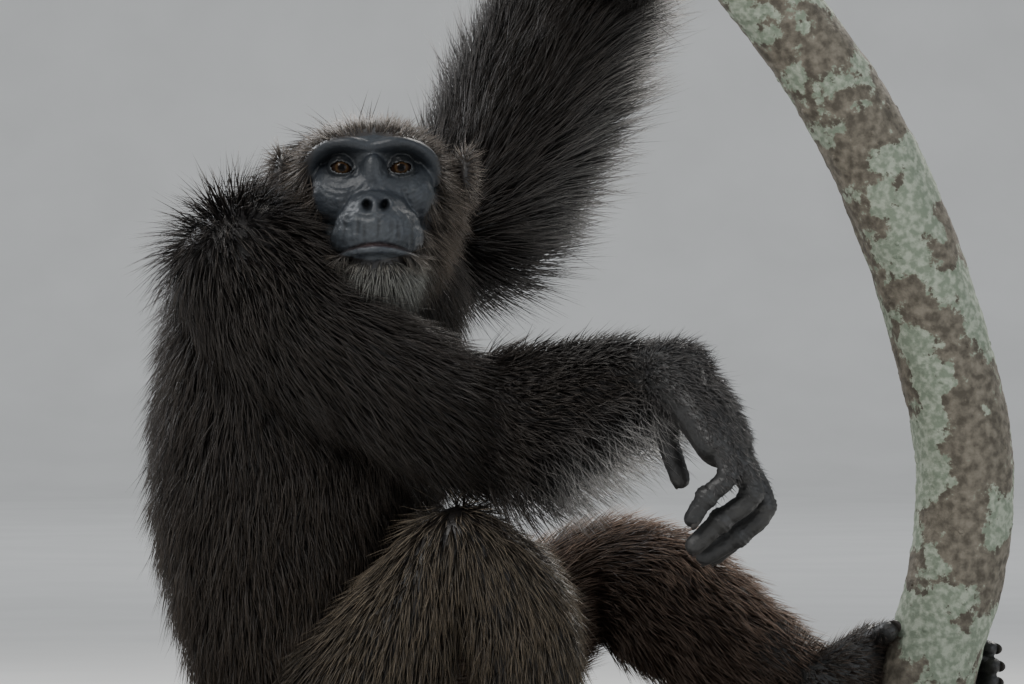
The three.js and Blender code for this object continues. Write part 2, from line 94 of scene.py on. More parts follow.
UPPER_ARM_LEFT = [[-52, 132, 610, 78, 74], [-20, 160, 662, 82, 72], [24, 204, 752, 84, 66],
                  [70, 256, 846, 74, 56]]
FOREARM_LEFT = [[78, 268, 862, 64, 56], [104, 186, 884, 58, 50], [124, 112, 896, 44, 40],
                [134, 66, 902, 31, 28]]
THIGH_RIGHT = [[-186, -72, 108, 74, 84], [-146, -94, 172, 74, 78], [-102, -108, 236, 66, 70],
               [-62, -112, 312, 50, 50]]
SHIN_RIGHT = [[-46, -114, 316, 48, 50], [0, -118, 258, 52, 62], [18, -122, 176, 44, 52],
              [20, -124, 96, 31, 34]]
THIGH_LEFT = [[-138, 74, 110, 78, 86], [-70, 96, 166, 76, 84], [10, 116, 232, 68, 76],
              [72, 126, 280, 56, 60]]
SHIN_LEFT = [[86, 124, 276, 54, 66], [138, 96, 260, 56, 76], [194, 66, 228, 50, 68],
             [246, 38, 208, 40, 46], [284, 18, 192, 27, 29]]
FOOT_LEFT = [[288, 10, 180, 30, 26], [316, 12, 196, 30, 26], [340, 26, 206, 34, 20]]
STEM = [[358, 28, 62, 46], [372, 22, 132, 46], [386, 12, 184, 45], [397, 8, 228, 45],
        [412, 4, 282, 46], [421, 0, 355, 46.5], [417, -6, 420, 46.5], [399, -14, 495, 46],
        [370, -24, 588, 44.5], [330, -34, 681, 43], [279, -44, 764, 40.5], [235, -52, 820, 38.5],
        [188, -58, 873, 37], [147, -62, 913, 36], [92, -66, 968, 34]]

# The left hand's and foot's grips: the middle of the stem, its radius there and the fingers' spacing
GRIP = {"place": np.array([147.0, -62, 913]), "stem": 36, "spread": 19}
STEM_AXIS = np.array([-0.7, 0, 0.71]) / math.hypot(0.7, 0.71)
GRIP_OVER = np.array([0.71, 0, 0.7]) / math.hypot(0.7, 0.71)
FOOT_GRIP = {"x": 397, "y": 8, "stem": 45}

# The right foot's heel and the way it points, and the sideways directions of the torso and forearm
HEEL_RIGHT = (-8, -112)
FORWARD = (0.86, -0.51)
ACROSS = (0.54, 0.84, 0)
FOREARM_SIDE = (0.5, 0.6, -0.1)

# The edge of the bare face: heights above the eyes, with the half width at each
FACE_EDGE = [(-85, 0), (-80, 26), (-76, 38), (-70, 43), (-60, 46), (-46, 48), (-24, 56), (0, 60), (14, 58),
             (21, 50), (26, 34), (30, 0)]

# Colours of hair, from root to tip, and of bare skin
BLACK = (0.010, 0.008, 0.0075)
BROWN = (0.024, 0.014, 0.010)
TIP_DARK = (0.080, 0.064, 0.052)
TIP_GREY = (0.26, 0.25, 0.24)
TIP_GOLD = (0.27, 0.215, 0.15)
TIP_RUST = (0.33, 0.225, 0.165)
TIP_RUMP = (0.17, 0.13, 0.095)
HEAD_ROOT = (0.030, 0.024, 0.020)
HEAD_TIP = (0.18, 0.145, 0.115)
BEARD_ROOT = (0.12, 0.12, 0.11)
BEARD_TIP = (0.44, 0.44, 0.40)
SCALP = (0.022, 0.019, 0.018)
FACE_SKIN = (0.026, 0.031, 0.038)
MUZZLE_SKIN = (0.070, 0.078, 0.086)
LID_SKIN = (0.07, 0.075, 0.08)
LIP_RED = (0.06, 0.022, 0.018)
HAND_SKIN = (0.020, 0.0195, 0.019)

# The eye's colours from the pupil's middle, over the iris, to the dark white
EYE_RINGS = {
    0.0: (0.002, 0.002, 0.002), 0.26: (0.003, 0.002, 0.002), 0.29: (0.026, 0.012, 0.005),
    0.42: (0.042, 0.024, 0.009), 0.52: (0.02, 0.010, 0.005), 0.58: (0.012, 0.006, 0.004),
    0.75: (0.015, 0.009, 0.007), 1.0: (0.02, 0.013, 0.010),
}

# The coated parts: stations, side, which way the hair lies, depth of the coat, length of the hair,
# how far it lifts, and the colours of its roots and tips
PARTS = {
    "torso": (TORSO, ACROSS, -1, 20, 52, 0.28, BLACK, TIP_DARK),
    "upper_arm_right": (UPPER_ARM_RIGHT, (0, 1, 0), 1, 18, 52, 0.30, BLACK, TIP_DARK),
    "forearm_right": (FOREARM_RIGHT, FOREARM_SIDE, 1, 13, 38, 0.34, BLACK, TIP_GREY),
    "upper_arm_left": (UPPER_ARM_LEFT, (1, 0, -0.4), 1, 20, 66, 0.50, BLACK, TIP_GREY),
    "forearm_left": (FOREARM_LEFT, (1, 0, 0), -1, 16, 54, 0.42, BLACK, TIP_GREY),
    "thigh_right": (THIGH_RIGHT, (0, 1, 0), -1, 17, 44, 0.26, BLACK, TIP_GOLD),
    "shin_right": (SHIN_RIGHT, (0, 1, 0), 1, 11, 36, 0.28, BLACK, TIP_GOLD),
    "thigh_left": (THIGH_LEFT, (0, 1, 0), 1, 17, 44, 0.28, BROWN, TIP_RUST),
    "shin_left": (SHIN_LEFT, (0, 1, 0), 1, 12, 38, 0.30, BROWN, TIP_RUST),
}
BODY_NODES = ["torso", "neck", *list(PARTS)[1:]]
HEAD_NODES = ["head", "ear_right", "ear_left"]

# The skins: the voxel they are joined with, in metres, and how often they are smoothed
SKINS = {"body": (0.005, 8), "head": (0.0016, 5), "hands": (0.0015, 4), "feet": (0.0021, 4)}

# The coats: the least and most that length, lift and width are multiplied by, the share of the set width,
# how far the tips droop, and the power that keeps the tips' colour to the tips
COATS = {
    "body": ((0.72, 1.15), (0.6, 1.25), (0.7, 1.25), 1, 0.12, 2.2),
    "head": ((0.7, 1.2), (0.6, 1.2), (0.6, 1.2), 0.75, 0.2, 1.5),
    "hands": ((0.6, 1.2), (0.5, 1.3), (0.6, 1.2), 0.7, 0.1, 1.4),
    "feet": ((0.6, 1.2), (0.5, 1.3), (0.6, 1.2), 0.7, 0.1, 1.4),
}

# The short hair: both wrists or ankles, the way from each back up the limb, and the colour of the tips
SHORT_HAIR = {
    "hands": ([[150, -278, 470], [136, 58, 903]], [[-30, 24, 0], [0, 30, -4]], (0.15, 0.14, 0.135)),
    "feet": ([[20, -124, 84], [290, 10, 186]], [[0, 0, 30], [-30, 0, 20]], (0.10, 0.07, 0.05)),
}

# The studio, in metres
FLOOR_REACH = 24
WALL_DEPTH = 18
WALL_HEIGHT = 12
WALL_CURVE = 3
CAMERA_DISTANCE = 6.0
CAMERA_HEIGHT = 0.502
PICTURE_WIDTH = 0.952  # what the picture's width spans at the animal's depth
SENSOR = 36
ANIMAL = (0, 0, 0.5)
BACKDROP = (0, 17, 1)

# The lamps: place, what each is aimed at, watts, size and colour
LAMPS = {
    "key": ((-1.8, -2.6, 3.0), ANIMAL, 95, 1.6, (1, 0.98, 0.95)),
    "fill": ((2.8, -3.0, 1.2), ANIMAL, 34, 2.2, (0.9, 0.95, 1)),
    "rim": ((1.4, 2.2, 2.8), ANIMAL, 125, 1.4, (1, 0.97, 0.92)),
    "back": ((-2.4, 1.8, 2.2), ANIMAL, 90, 1.4, (0.95, 0.97, 1)),
    "backdrop_light": ((0, 8, 8), BACKDROP, 420, 8.0, (0.97, 0.98, 1)),
}


# Small helpers
def unit(v):
    v = np.asarray(v, float)
    return v / np.maximum(np.linalg.norm(v, axis=-1, keepdims=True), 1e-9)


def bounded(value):
    return np.clip(value, 0, 1)


def blend(a, b, amount):
    """a where the amount is 0 and b where it is 1."""
    return np.asarray(a) * (1 - amount) + np.asarray(b) * amount


def distance(p, place):
    """How far each of the points p is from one place."""
    return np.linalg.norm(p - place, axis=1)


def fall(far, reach):
    """1 at no distance and 0 far outside reach."""
    return np.exp(-(far / reach) ** 2)


def waves(p, size, seed):
    """Smooth noise between about -1 and 1, at a scale of size millimetres."""
    rng = np.random.default_rng(seed)
    total = np.zeros(len(p))
    for _ in range(7):
        direction = unit(rng.normal(size=3))
        total += np.sin(p @ direction * 2 * math.pi / (size * rng.uniform(0.7, 1.5)) + rng.uniform(0, 6.3))
    return total / 3.5


# Shapes in millimetres, made into meshes in metres
def spline(points, t):
    """Places along a smooth curve through points, at each t from 0 to 1."""
    p = np.asarray(points, float)
    p = np.vstack([2 * p[0] - p[1], p, 2 * p[-1] - p[-2]])
    s = bounded(np.asarray(t, float)) * (len(p) - 3)
    i = np.minimum(s.astype(int), len(p) - 4)
    u = (s - i)[:, None]
    a, b, c, d = p[i], p[i + 1], p[i + 2], p[i + 3]
    return 0.5 * (2 * b + (c - a) * u + (2 * a - 5 * b + 4 * c - d) * u**2 + (3 * b - a - 3 * c + d) * u**3)


def frames(stations, side, t):
    """Centre, tangent, the two section directions and the two half sizes of a tube at each t."""
    s = np.array([list(r) + [r[3]] if len(r) == 4 else r for r in stations], float)
    at = spline(s, t)
    along = unit(spline(s[:, :3], np.minimum(t + 0.01, 1)) - spline(s[:, :3], np.maximum(t - 0.01, 0)))
    tall = unit(np.cross(along, unit(side)))
    across = unit(np.cross(tall, along))
    return at[:, :3], along, tall, across, at[:, 3], at[:, 4]


def tube(stations, side=(0, 1, 0), inset=0.0, sides=20, rings=24, cap_rings=5, cap=1.0):
    """A closed rounded tube: its points and faces."""
    ring = np.arange(1, rings)
    t = bounded((np.arange(rings + 1) - cap_rings) / (rings - 2 * cap_rings))
    centre, along, tall, across, wide, high = frames(stations, side, t)
    angle = np.minimum(np.minimum(np.arange(rings + 1), rings - np.arange(rings + 1)), cap_rings)
    angle = angle / cap_rings * math.pi / 2
    wide, high = wide - inset, high - inset
    reach = np.minimum(wide, high) * cap * np.cos(angle) * np.where(t < 0.5, -1, 1)
    centre = centre + along * reach[:, None]
    turn = np.arange(sides) / sides * 2 * math.pi
    shrink = np.sin(angle)
    beside = (np.cos(turn) * (wide * shrink)[ring][:, None])[..., None]
    above = (np.sin(turn) * (high * shrink)[ring][:, None])[..., None]
    points = centre[ring][:, None] + across[ring][:, None] * beside + tall[ring][:, None] * above
    points = np.vstack([centre[:1], points.reshape(-1, 3), centre[-1:]])
    faces = [(0, 1 + j, 1 + (j + 1) % sides) for j in range(sides)]
    for i in range(rings - 2):
        for j in range(sides):
            a, b = 1 + i * sides + j, 1 + i * sides + (j + 1) % sides
            faces.append((a, a + sides, b + sides, b))
    last = len(points) - 1
    faces += [(last, last - sides + (j + 1) % sides, last - sides + j) for j in range(sides)]
    return points, faces


def blob(centre, radii, tilt=0.0, sides=32, rings=20):
    """An ellipsoid, tilted about X by degrees: its points and faces."""
    short = [[0, 0, -1e-3, 1, 1], [0, 0, 1e-3, 1, 1]]
    points, faces = tube(short, (1, 0, 0), 0, sides, rings, rings // 2 - 1)
    points = points * np.asarray(radii)
    c, s = math.cos(math.radians(tilt)), math.sin(math.radians(tilt))
    points = points @ np.array([[1, 0, 0], [0, c, s], [0, -s, c]])
    return points + np.asarray(centre), faces


def mesh_of(name, parts):
    """One mesh from several (points, faces), in metres."""
    points, faces, n = [], [], 0
    for p, f in parts:
        points.append(p)
        faces += [tuple(i + n for i in face) for face in f]
        n += len(p)
    mesh = bpy.data.meshes.new(name)
    mesh.from_pydata((np.vstack(points) * MM).tolist(), [], faces)
    mesh.update()
    return mesh


def placed(name, mesh):
    obj = bpy.data.objects.new(name, mesh)
    bpy.context.scene.collection.objects.link(obj)
    return obj


def recalculated(mesh):
    bm = bmesh.new()
    bm.from_mesh(mesh)
    bmesh.ops.recalc_face_normals(bm, faces=bm.faces)
    bm.to_mesh(mesh)
    bm.free()


def smooth(mesh):
    mesh.polygons.foreach_set("use_smooth", np.ones(len(mesh.polygons), bool))


def applied(obj):
    """Gives an object the mesh that its modifiers make, and takes the modifiers away."""
    name, spare = obj.name, obj.data
    graph = bpy.context.evaluated_depsgraph_get()
    obj.data = bpy.data.meshes.new_from_object(obj.evaluated_get(graph))
    obj.modifiers.clear()
    bpy.data.meshes.remove(spare)
    obj.data.name = name
    if not obj.data.polygons:
        raise RuntimeError(f"{name} came out empty")
    return obj


def fused(name, parts):
    """Several closed shapes remeshed as one skin and smoothed."""
    voxel, rounds = SKINS[name]
    mesh = mesh_of(f"skin_{name}", parts)
    recalculated(mesh)
    obj = placed(mesh.name, mesh)
    remesh = obj.modifiers.new("join", "REMESH")
    remesh.mode = "VOXEL"
    remesh.voxel_size = voxel
    soften = obj.modifiers.new("soften", "SMOOTH")
    soften.iterations = rounds
    soften.factor = 0.5
    smooth(applied(obj).data)
    return obj


def coords(mesh):
    p = np.empty(len(mesh.vertices) * 3, np.float32)
    mesh.vertices.foreach_get("co", p)
    return p.reshape(-1, 3) / MM


def normals(mesh):
    n = np.empty(len(mesh.vertices) * 3, np.float32)
    mesh.vertex_normals.foreach_get("vector", n)
    return n.reshape(-1, 3)


def set_coords(mesh, p):
    mesh.vertices.foreach_set("co", (p * MM).astype(np.float32).ravel())
    mesh.update()


# Digits, hands, feet and head, as the solids have them
def digit(points, radius):
    last = len(points) - 1
    stations = [[*p, radius * (1 - 0.22 * i / last)] for i, p in enumerate(points)]
    return tube(stations, (0.2, 1, 0), 0, 14, 26, 5)


def knuckles(points, radius):
    """Slightly thicker places at the joints of a digit."""
    return [blob(p, (radius * 1.06,) * 3, 0, 14, 10) for p in points[1:-1]]


def round_stem(angle, distance, shift):
    a = math.radians(angle)
    place = GRIP["place"] + np.array([0, 1, 0]) * distance * math.cos(a)
    return (place + GRIP_OVER * distance * math.sin(a) + STEM_AXIS * shift).tolist()


def on_foot(along, inward, height):
    fx, fy = FORWARD
    return [HEEL_RIGHT[0] + fx * along - fy * inward, HEEL_RIGHT[1] + fy * along + fx * inward, height]


def round_foot_stem(angle, distance, height):
    a = math.radians(angle)
    return [FOOT_GRIP["x"] - distance * math.sin(a), FOOT_GRIP["y"] - distance * math.cos(a), height]


def left_fingers():
    out = GRIP["stem"] + FINGER + 0.3
    rows = [[round_stem(a, out, row * GRIP["spread"]) for a in (8, 40, 75, 110, curl)]
            for row, curl in zip((1.5, 0.5, -0.5, -1.5), (158, 172, 168, 146))]
    return rows + [[round_stem(8, out + 6, 22), round_stem(-35, out + 2, 34), round_stem(-75, out, 38)]]


def right_toes():
    rows = [[on_foot(150, w, 32), on_foot(190, w * 1.08, 36), on_foot(reach, w * 1.1, 30.5)]
            for w, reach in zip((21, 4, -14, -31), (232, 240, 232, 214))]
    return rows, [on_foot(70, 20, 36), on_foot(112, 48, 34), on_foot(150, 62, 34)]


def left_toes():
    out = FOOT_GRIP["stem"] + TOE + 0.3
    rows = []
    for row, end in enumerate((246, 254, 250, 238)):
        height = 224 - row * 15.5
        rows.append([round_foot_stem(a, out, height - (a - 110) * 0.06) for a in (110, 145, 180, 215, end)])
    return rows, [[322, 2, 212], round_foot_stem(88, out + 3, 226), round_foot_stem(58, out + 2, 234)]


def hand_shapes():
    out = GRIP["stem"] + FINGER
    palm = [[row[0] - 3, row[1], row[2] - 4, row[3] + 1, row[4] + 5] for row in PALM_RIGHT]
    shapes = [tube(palm, (0.36, 0.93, 0), 0, 24, 22)]
    for name, points in DIGITS_RIGHT.items():
        radius = FINGER + (1.6 if name == "little" else 2.6)
        shapes += [digit(points, radius), *knuckles(points, radius)]
    palm = [[136, 58, 903, 29, 24], [*round_stem(-8, out + 34, -4), 34, 20],
            [*round_stem(14, out + 4, 0), 38, 13]]
    shapes.append(tube(palm, tuple(STEM_AXIS), 0, 24, 22))
    shapes += [digit(points, FINGER) for points in left_fingers()]
    wrist_right = [[116, -230, 466, 24, 32], [*FOREARM_RIGHT[-1][:3], 30, 29]]
    wrist_left = [[126, 104, 897, 24, 22], [*FOREARM_LEFT[-1][:3], 26, 24]]
    shapes += [tube(wrist_right, FOREARM_SIDE, 0, 24, 16), tube(wrist_left, (1, 0, 0), 0, 24, 16)]
    return shapes


def foot_shapes():
    side = (-FORWARD[1], FORWARD[0], 0)
    sole = [[*on_foot(14, 0, 48), 29, 27], [*on_foot(60, 0, 48), 32, 27], [*on_foot(120, -2, 38), 39, 17],
            [*on_foot(150, -4, 33), 40, 12]]
    shapes = [tube(sole, side, 0, 24, 24)]
    toes, big = right_toes()
    shapes += [digit(points, TOE) for points in toes] + [digit(big, TOE + 3)]
    toes, big = left_toes()
    shapes += [tube(FOOT_LEFT, (0, 0, 1), 0, 24, 22), digit(big, TOE + 3)]
    shapes += [digit(points, TOE) for points in toes]
    shapes.append(tube(SHIN_RIGHT[2:], (0, 1, 0), 10, 24, 16))
    shapes.append(tube(SHIN_LEFT[3:], (0, 1, 0), 8, 24, 16))
    return shapes


def head_shapes():
    x, y, z = FACE
    arch = [(58, 32, -10, 6.5), (54, 19, 8, 7), (40, 7, 18.5, 7), (22, 0, 22, 7)]
    brow = [[x - a, y + b, z + c, d] for a, b, c, d in arch]
    brow += [[x, y + 2, z + 19, 6.5]] + [[x + a, y + b, z + c, d] for a, b, c, d in reversed(arch)]
    lip = [[x - 30, y - 13, z - 83, 3.5], [x - 14, y - 30, z - 76, 4], [x + 6, y - 36, z - 74, 4.5],
           [x + 26, y - 30, z - 76, 4], [x + 42, y - 13, z - 83, 3.5]]
    ears = [blob((x + which * 85, y + 84, z - 6), (7, 17, 22)) for which in (-1, 1)]
    return [
        blob(SKULL, SKULL_RADII),
        blob((x + 2, y + 60, z - 70), (60, 58, 52)),
        tube(brow, (0, 0, 1), 0, 20, 60, 6),
        blob((x, y + 25, z + 15), (52, 27, 23)),
        blob((x + 1, y + 24, z - 20), (56, 33, 42)),
        blob((x - 26, y + 17, z - 26), (28, 19, 24), 12),
        blob((x + 30, y + 17, z - 26), (28, 19, 24), 12),
        blob((x + 5, y + 2, z - 44), (32, 38, 24), -6),
        blob((x + 6, y + 1, z - 54), (39, 43, 26), -8),
        blob((x + 6, y + 3, z - 64), (43, 44, 25), -10),
        blob((x + 6, y + 18, z - 92), (38, 42, 26), -10),
        blob((x + 2, y + 5, z - 18), (15, 12, 32), 20),
        blob((x + 5, y - 16, z - 33), (18, 12, 12)),
        tube(lip, (0, 0, 1), 0, 16, 40, 5),
        tube([[-142, -6, 590, 62, 56], [-132, -40, 640, 60, 56]], (1, 0, 0), 0, 24, 16),
        *ears,
    ]


def mouth_line(p):
    """Height of the line between the lips, turned down at its corners."""
    return FACE[2] - 70 - 10.5 * ((p[:, 0] - LIPS_X) / 39) ** 2


def lip_folds(p):
    """The upright folds over the upper lip."""
    return waves(np.stack([(p[:, 0] - LIPS_X) * 7, np.zeros(len(p)), p[:, 2]], 1), 26, 61)


def from_nostril(p, which):
    """How far each place is to the side of one nostril and above it."""
    x, _, z = FACE
    return p[:, 0] - (x + NOSTRIL["middle"] + which * NOSTRIL["apart"]), p[:, 2] - (z - NOSTRIL["below"])


def carve_socket(p, which):
    """A wide hollow round one eye."""
    x, y, z = FACE
    dx, dz = p[:, 0] - (x + which * (EYE_SPACING / 2 + 1)), p[:, 2] - (z + 2.5)
    p[:, 1] += 12 * fall(np.hypot(dx / 1.3, dz), 13.5) * (p[:, 1] < y + 50)


def drape_lids(p, which, front):
    """Lids laid over one eyeball, the slit between them, the crease above and the bag below."""
    x, y, z = FACE
    back = y + EYE_RADIUS + 1
    dx, dz = p[:, 0] - (x + which * EYE_SPACING / 2), p[:, 2] - z
    slant = dz - 0.10 * which * dx
    inside = np.hypot(dx / 9.2, slant / (5.0 - 0.5 * (slant < 0)))
    ball = back - np.sqrt(np.maximum((EYE_RADIUS + 1.6) ** 2 - dx**2 - dz**2, 0))
    near = front & (np.hypot(dx / 17, slant / 14) < 1)
    hold = bounded((1.9 - inside) / 0.6)
    lid = ball - 0.9 * fall(inside - 1.12, 0.16)
    draped = np.where(p[:, 1] > lid, lid, p[:, 1] * (1 - hold) + lid * hold)
    p[:, 1] = np.where(near & (inside >= 1) & (dx**2 + dz**2 < 160), draped, p[:, 1])
    p[:, 1] = np.where(front & (inside < 1), back + 2 - 3 * inside, p[:, 1])
    p[:, 1] += np.where(near & (dz > 0), 1.3 * fall(inside - 1.75, 0.12), 0)
    bag = 1.0 * fall(inside - 1.9, 0.14) - 0.9 * fall(inside - 2.2, 0.14)
    p[:, 1] += np.where(near & (dz < 0), bag, 0)


def carve_nostril(p, which):
    """One nostril and its raised wing."""
    dx, dz = from_nostril(p, which)
    slant = dz - 0.25 * which * dx
    hole = fall(np.hypot(dx / NOSTRIL["half_width"], slant / NOSTRIL["half_height"]), 0.95)
    hole = hole * (p[:, 1] < FACE[1] + 10)
    p[:, 1] += 12 * bounded(hole * 1.5 - 0.35)
    wing = fall(np.hypot(dx / 8.2, dz / 8.6) - 1, 0.22) * (p[:, 1] < FACE[1] + 10)
    p[:, 1] -= 1.6 * wing


def carve_muzzle(p, front):
    """The line between the lips, the upright folds above it and the fold round the muzzle."""
    _, y, z = FACE
    dx = p[:, 0] - LIPS_X
    dz = p[:, 2] - mouth_line(p)
    width = bounded(1 - (np.abs(dx) / 40) ** 6) * (front & (p[:, 1] < y + 30))
    p[:, 1] += 5.5 * fall(dz, 1.3) * width
    upper = bounded((dz - 4) / 6) * bounded((z - 44 - p[:, 2]) / 6) * width
    p[:, 1] += 0.75 * lip_folds(p) * upper
    fold = fall(np.abs(dx) - (24 + 0.38 * (z - 22 - p[:, 2])), 2.2)
    fold = fold * bounded((z - 14 - p[:, 2]) / 10) * bounded((p[:, 2] - z + 60) / 12)
    p[:, 1] += 1.7 * fold * (front & (p[:, 1] < y + 26)) * bounded((np.abs(dx) - 16) / 8)


def sculpt_head(obj):
    """Sockets, lids, nostrils, mouth, folds and wrinkles, moved into the skin."""
    x, y, z = FACE
    mesh = obj.data
    p = coords(mesh)
    for which in (-1, 1):
        carve_socket(p, which)
    front = p[:, 1] < y + 40
    for which in (-1, 1):
        drape_lids(p, which, front)
    for which in (-1, 1):
        carve_nostril(p, which)
    carve_muzzle(p, front)
    under = bounded((z - 12 - p[:, 2]) / 6) * bounded((p[:, 2] - z + 44) / 8) * front
    for which in (-1, 1):
        arc = np.hypot(p[:, 0] - (x + which * EYE_SPACING / 2), p[:, 2] - z)
        p[:, 1] += 0.55 * np.sin(arc * 1.25) * under * fall(arc - 22, 9)
    set_coords(mesh, p)
    crumple = 0.35 * waves(p * [1, 1, 1.8], 9, 62) + 0.22 * waves(p * [1, 1, 2.2], 5, 63)
    p += normals(mesh) * (crumple * front * bounded((z - 4 - p[:, 2]) / 14))[:, None]
    set_coords(mesh, p)


# Where the coat grows, which way it lies and its colours
def bone_fields(p):
    """For each place its nearest part and place on it, and the mixed lie, length, lift and colours."""
    t = np.linspace(0, 1, 30)
    total = np.zeros(len(p))
    lie = np.zeros((len(p), 3))
    sums = np.zeros((len(p), 8))
    best = np.full(len(p), 1e9)
    part = np.zeros(len(p), int)
    where = np.zeros((len(p), 2))
    for i, (stations, side, flow, _, length, lift, root, tip) in enumerate(PARTS.values()):
        centre, along, tall, across, wide, high = frames(stations, side, t)
        near = np.argmin(((p[:, None] - centre[None]) ** 2).sum(2), axis=1)
        offset = p - centre[near]
        u, v = (offset * across[near]).sum(1), (offset * tall[near]).sum(1)
        w = (offset * along[near]).sum(1)
        gap = np.sqrt((u / wide[near]) ** 2 + (v / high[near]) ** 2 + (w / high[near]) ** 2)
        weight = 1 / (0.02 + gap**6)
        total += weight
        lie += along[near] * (flow * weight)[:, None]
        sums += np.array([length, lift, *root, *tip])[None] * weight[:, None]
        closer = gap < best
        best = np.where(closer, gap, best)
        part = np.where(closer, i, part)
        turn = np.arctan2(v, u) / (2 * math.pi) % 1
        where = np.where(closer[:, None], np.stack([t[near], turn], 1), where)
    sums /= total[:, None]
    return part, where, unit(lie), sums[:, 0], sums[:, 1], sums[:, 2:5], sums[:, 5:8]


def on(part, *names):
    """True where the nearest part is one of the named ones."""
    return np.isin(part, [list(PARTS).index(name) for name in names])


def special_places(p, n, part, lie, length, lift, root, tip):
    """The raised hair of the shoulder and the fringes of both arms, with painted light on the near one's
    underside. Painted shade on the arms' hair that faces the camera, painted light on the far leg's upper
    side, and the paler hair of the rump.
    """
    dark = np.array(TIP_DARK)
    shoulder = fall(distance(p, SHOULDER), 80)
    lift = lift + 0.75 * shoulder * bounded(n[:, 2] * 1.5 + 0.3)
    length = length * (1 + 0.15 * shoulder)
    lie = unit(lie + on(part, "thigh_right", "shin_right")[:, None] * np.array([0, 0, -1.2]))
    raised = on(part, "upper_arm_left", "forearm_left")
    below = raised * bounded(n[:, 0] * 0.9 - n[:, 2] * 0.3) * bounded((880 - p[:, 2]) / 60)
    length = length * (1 + 0.45 * below)
    lie = unit(lie + below[:, None] * np.array([0.5, 0, -0.25]))
    # Painted shade: the tips are darkened except where the hair faces sideways, so the hair facing the
    # camera is dark. The grey tips kept at that outline are the hair's own colour.
    edge = bounded(np.abs(n[:, 0]) * 2.0 - 0.85)[:, None]
    tip = np.where(raised[:, None], blend(dark * 0.55, tip, edge), tip)
    fringe = on(part, "forearm_right") * bounded(-n[:, 2] * 1.6 - 0.1)
    length = length * (1 + 0.75 * fringe)
    lift = lift + 0.75 * fringe
    past_elbow = bounded((p[:, 0] - 6) / 60)
    # Painted shade: the near arm's tips are darkened except on its upper and lower faces, so the hair
    # facing the camera is dark.
    edge = (bounded(np.abs(n[:, 2]) * 1.5 - 0.45) * past_elbow)[:, None]
    # The fringe's grey is the hair's own colour. The extra brightening of its tips and roots is painted
    # light on the downward-facing hair.
    grey = np.array(TIP_GREY) * (1 + 2.5 * fringe[:, None])
    root = root + 0.15 * (fringe * past_elbow)[:, None]
    near_arm = on(part, "upper_arm_right", "forearm_right")
    tip = np.where(near_arm[:, None], blend(dark * 0.8, grey, edge), tip)
    haunch = on(part, "thigh_right") * bounded((-140 - p[:, 0]) / 40)
    tip = tip * (1 - 0.5 * haunch[:, None])
    # The far leg's tips are darker overall and lighter on its upward-facing side. The lighter tips are a
    # painted highlight of the light from behind.
    far_leg = on(part, "thigh_left", "shin_left")
    lit = far_leg * bounded(n @ unit([0.4, 0, 0.9]) * 1.4 - 0.3)
    tip = tip * (1 - 0.45 * far_leg + 1.15 * lit)[:, None]
    rump = bounded((430 - p[:, 2]) / 200) * on(part, "torso")
    return lie, length, lift, root, blend(tip, TIP_RUMP, 0.6 * rump[:, None])


def bare_face(p):
    """1 on the bare skin of the face and 0 in the hair."""
    x, y, z = FACE
    wide = np.interp(p[:, 2] - z, *zip(*FACE_EDGE))
    edge = wide - np.abs(p[:, 0] - (x + 3)) + 1.5 * waves(p, 16, 5)
    return bounded(edge / 7 + 0.5) * bounded((y + 62 - p[:, 1]) / 8)


def head_fields(p):
    """The lie, length, lift and colours of the hair of the head."""
    x, y, z = FACE
    rel = p - np.array([x + 3, y - 30, z - 18])
    low = bounded((z + 14 - p[:, 2]) / 60)[:, None]
    lie = unit(rel * np.array([1.0, 1.0, 0.8])) * (1 - 0.45 * low)
    lie = unit(lie + np.array([0, 0.30, -1.0]) * low + np.array([0, 0.7, -0.15]))
    chin = bounded((z - 78 - p[:, 2]) / 14) * bounded((y + 44 - p[:, 1]) / 20)
    length = 9 + 26 * bounded(distance(rel, 0) / 95) ** 1.5
    length = blend(length, 6 + 40 * bounded((z - 86 - p[:, 2]) / 26), chin)
    ear = fall(distance(np.abs(p - [x, y + 84, z - 6]), [88, 0, 0]), 22)
    nape = bounded((p[:, 1] - y - 90) / 40)
    length = length * (1 - 0.7 * ear) + 6 * nape
    lift = 0.24 + 0.18 * low[:, 0]
    root = blend(HEAD_ROOT, BEARD_ROOT, 0.5 * chin[:, None])
    tip = blend(blend(HEAD_TIP, BEARD_TIP, chin[:, None]), TIP_DARK, nape[:, None])
    return lie, length, lift, root, tip


def scattered(obj, count, seed):
    """Places spread over a mesh by area, with their normals."""
    mesh = obj.data
    mesh.calc_loop_triangles()
    tri = np.empty(len(mesh.loop_triangles) * 3, np.int32)
    mesh.loop_triangles.foreach_get("vertices", tri)
    tri = tri.reshape(-1, 3)
    p, n = coords(mesh), normals(mesh)
    a, b, c = p[tri[:, 0]], p[tri[:, 1]], p[tri[:, 2]]
    area = np.linalg.norm(np.cross(b - a, c - a), axis=1)
    rng = np.random.default_rng(seed)
    i = rng.choice(len(tri), count, p=area / area.sum())
    u, v = rng.random((2, count, 1))
    flip = u + v > 1
    u, v = np.where(flip, 1 - u, u), np.where(flip, 1 - v, v)
    place = a[i] * (1 - u - v) + b[i] * u + c[i] * v
    normal = n[tri[i, 0]] * (1 - u - v) + n[tri[i, 1]] * u + n[tri[i, 2]] * v
    return place, unit(normal), rng


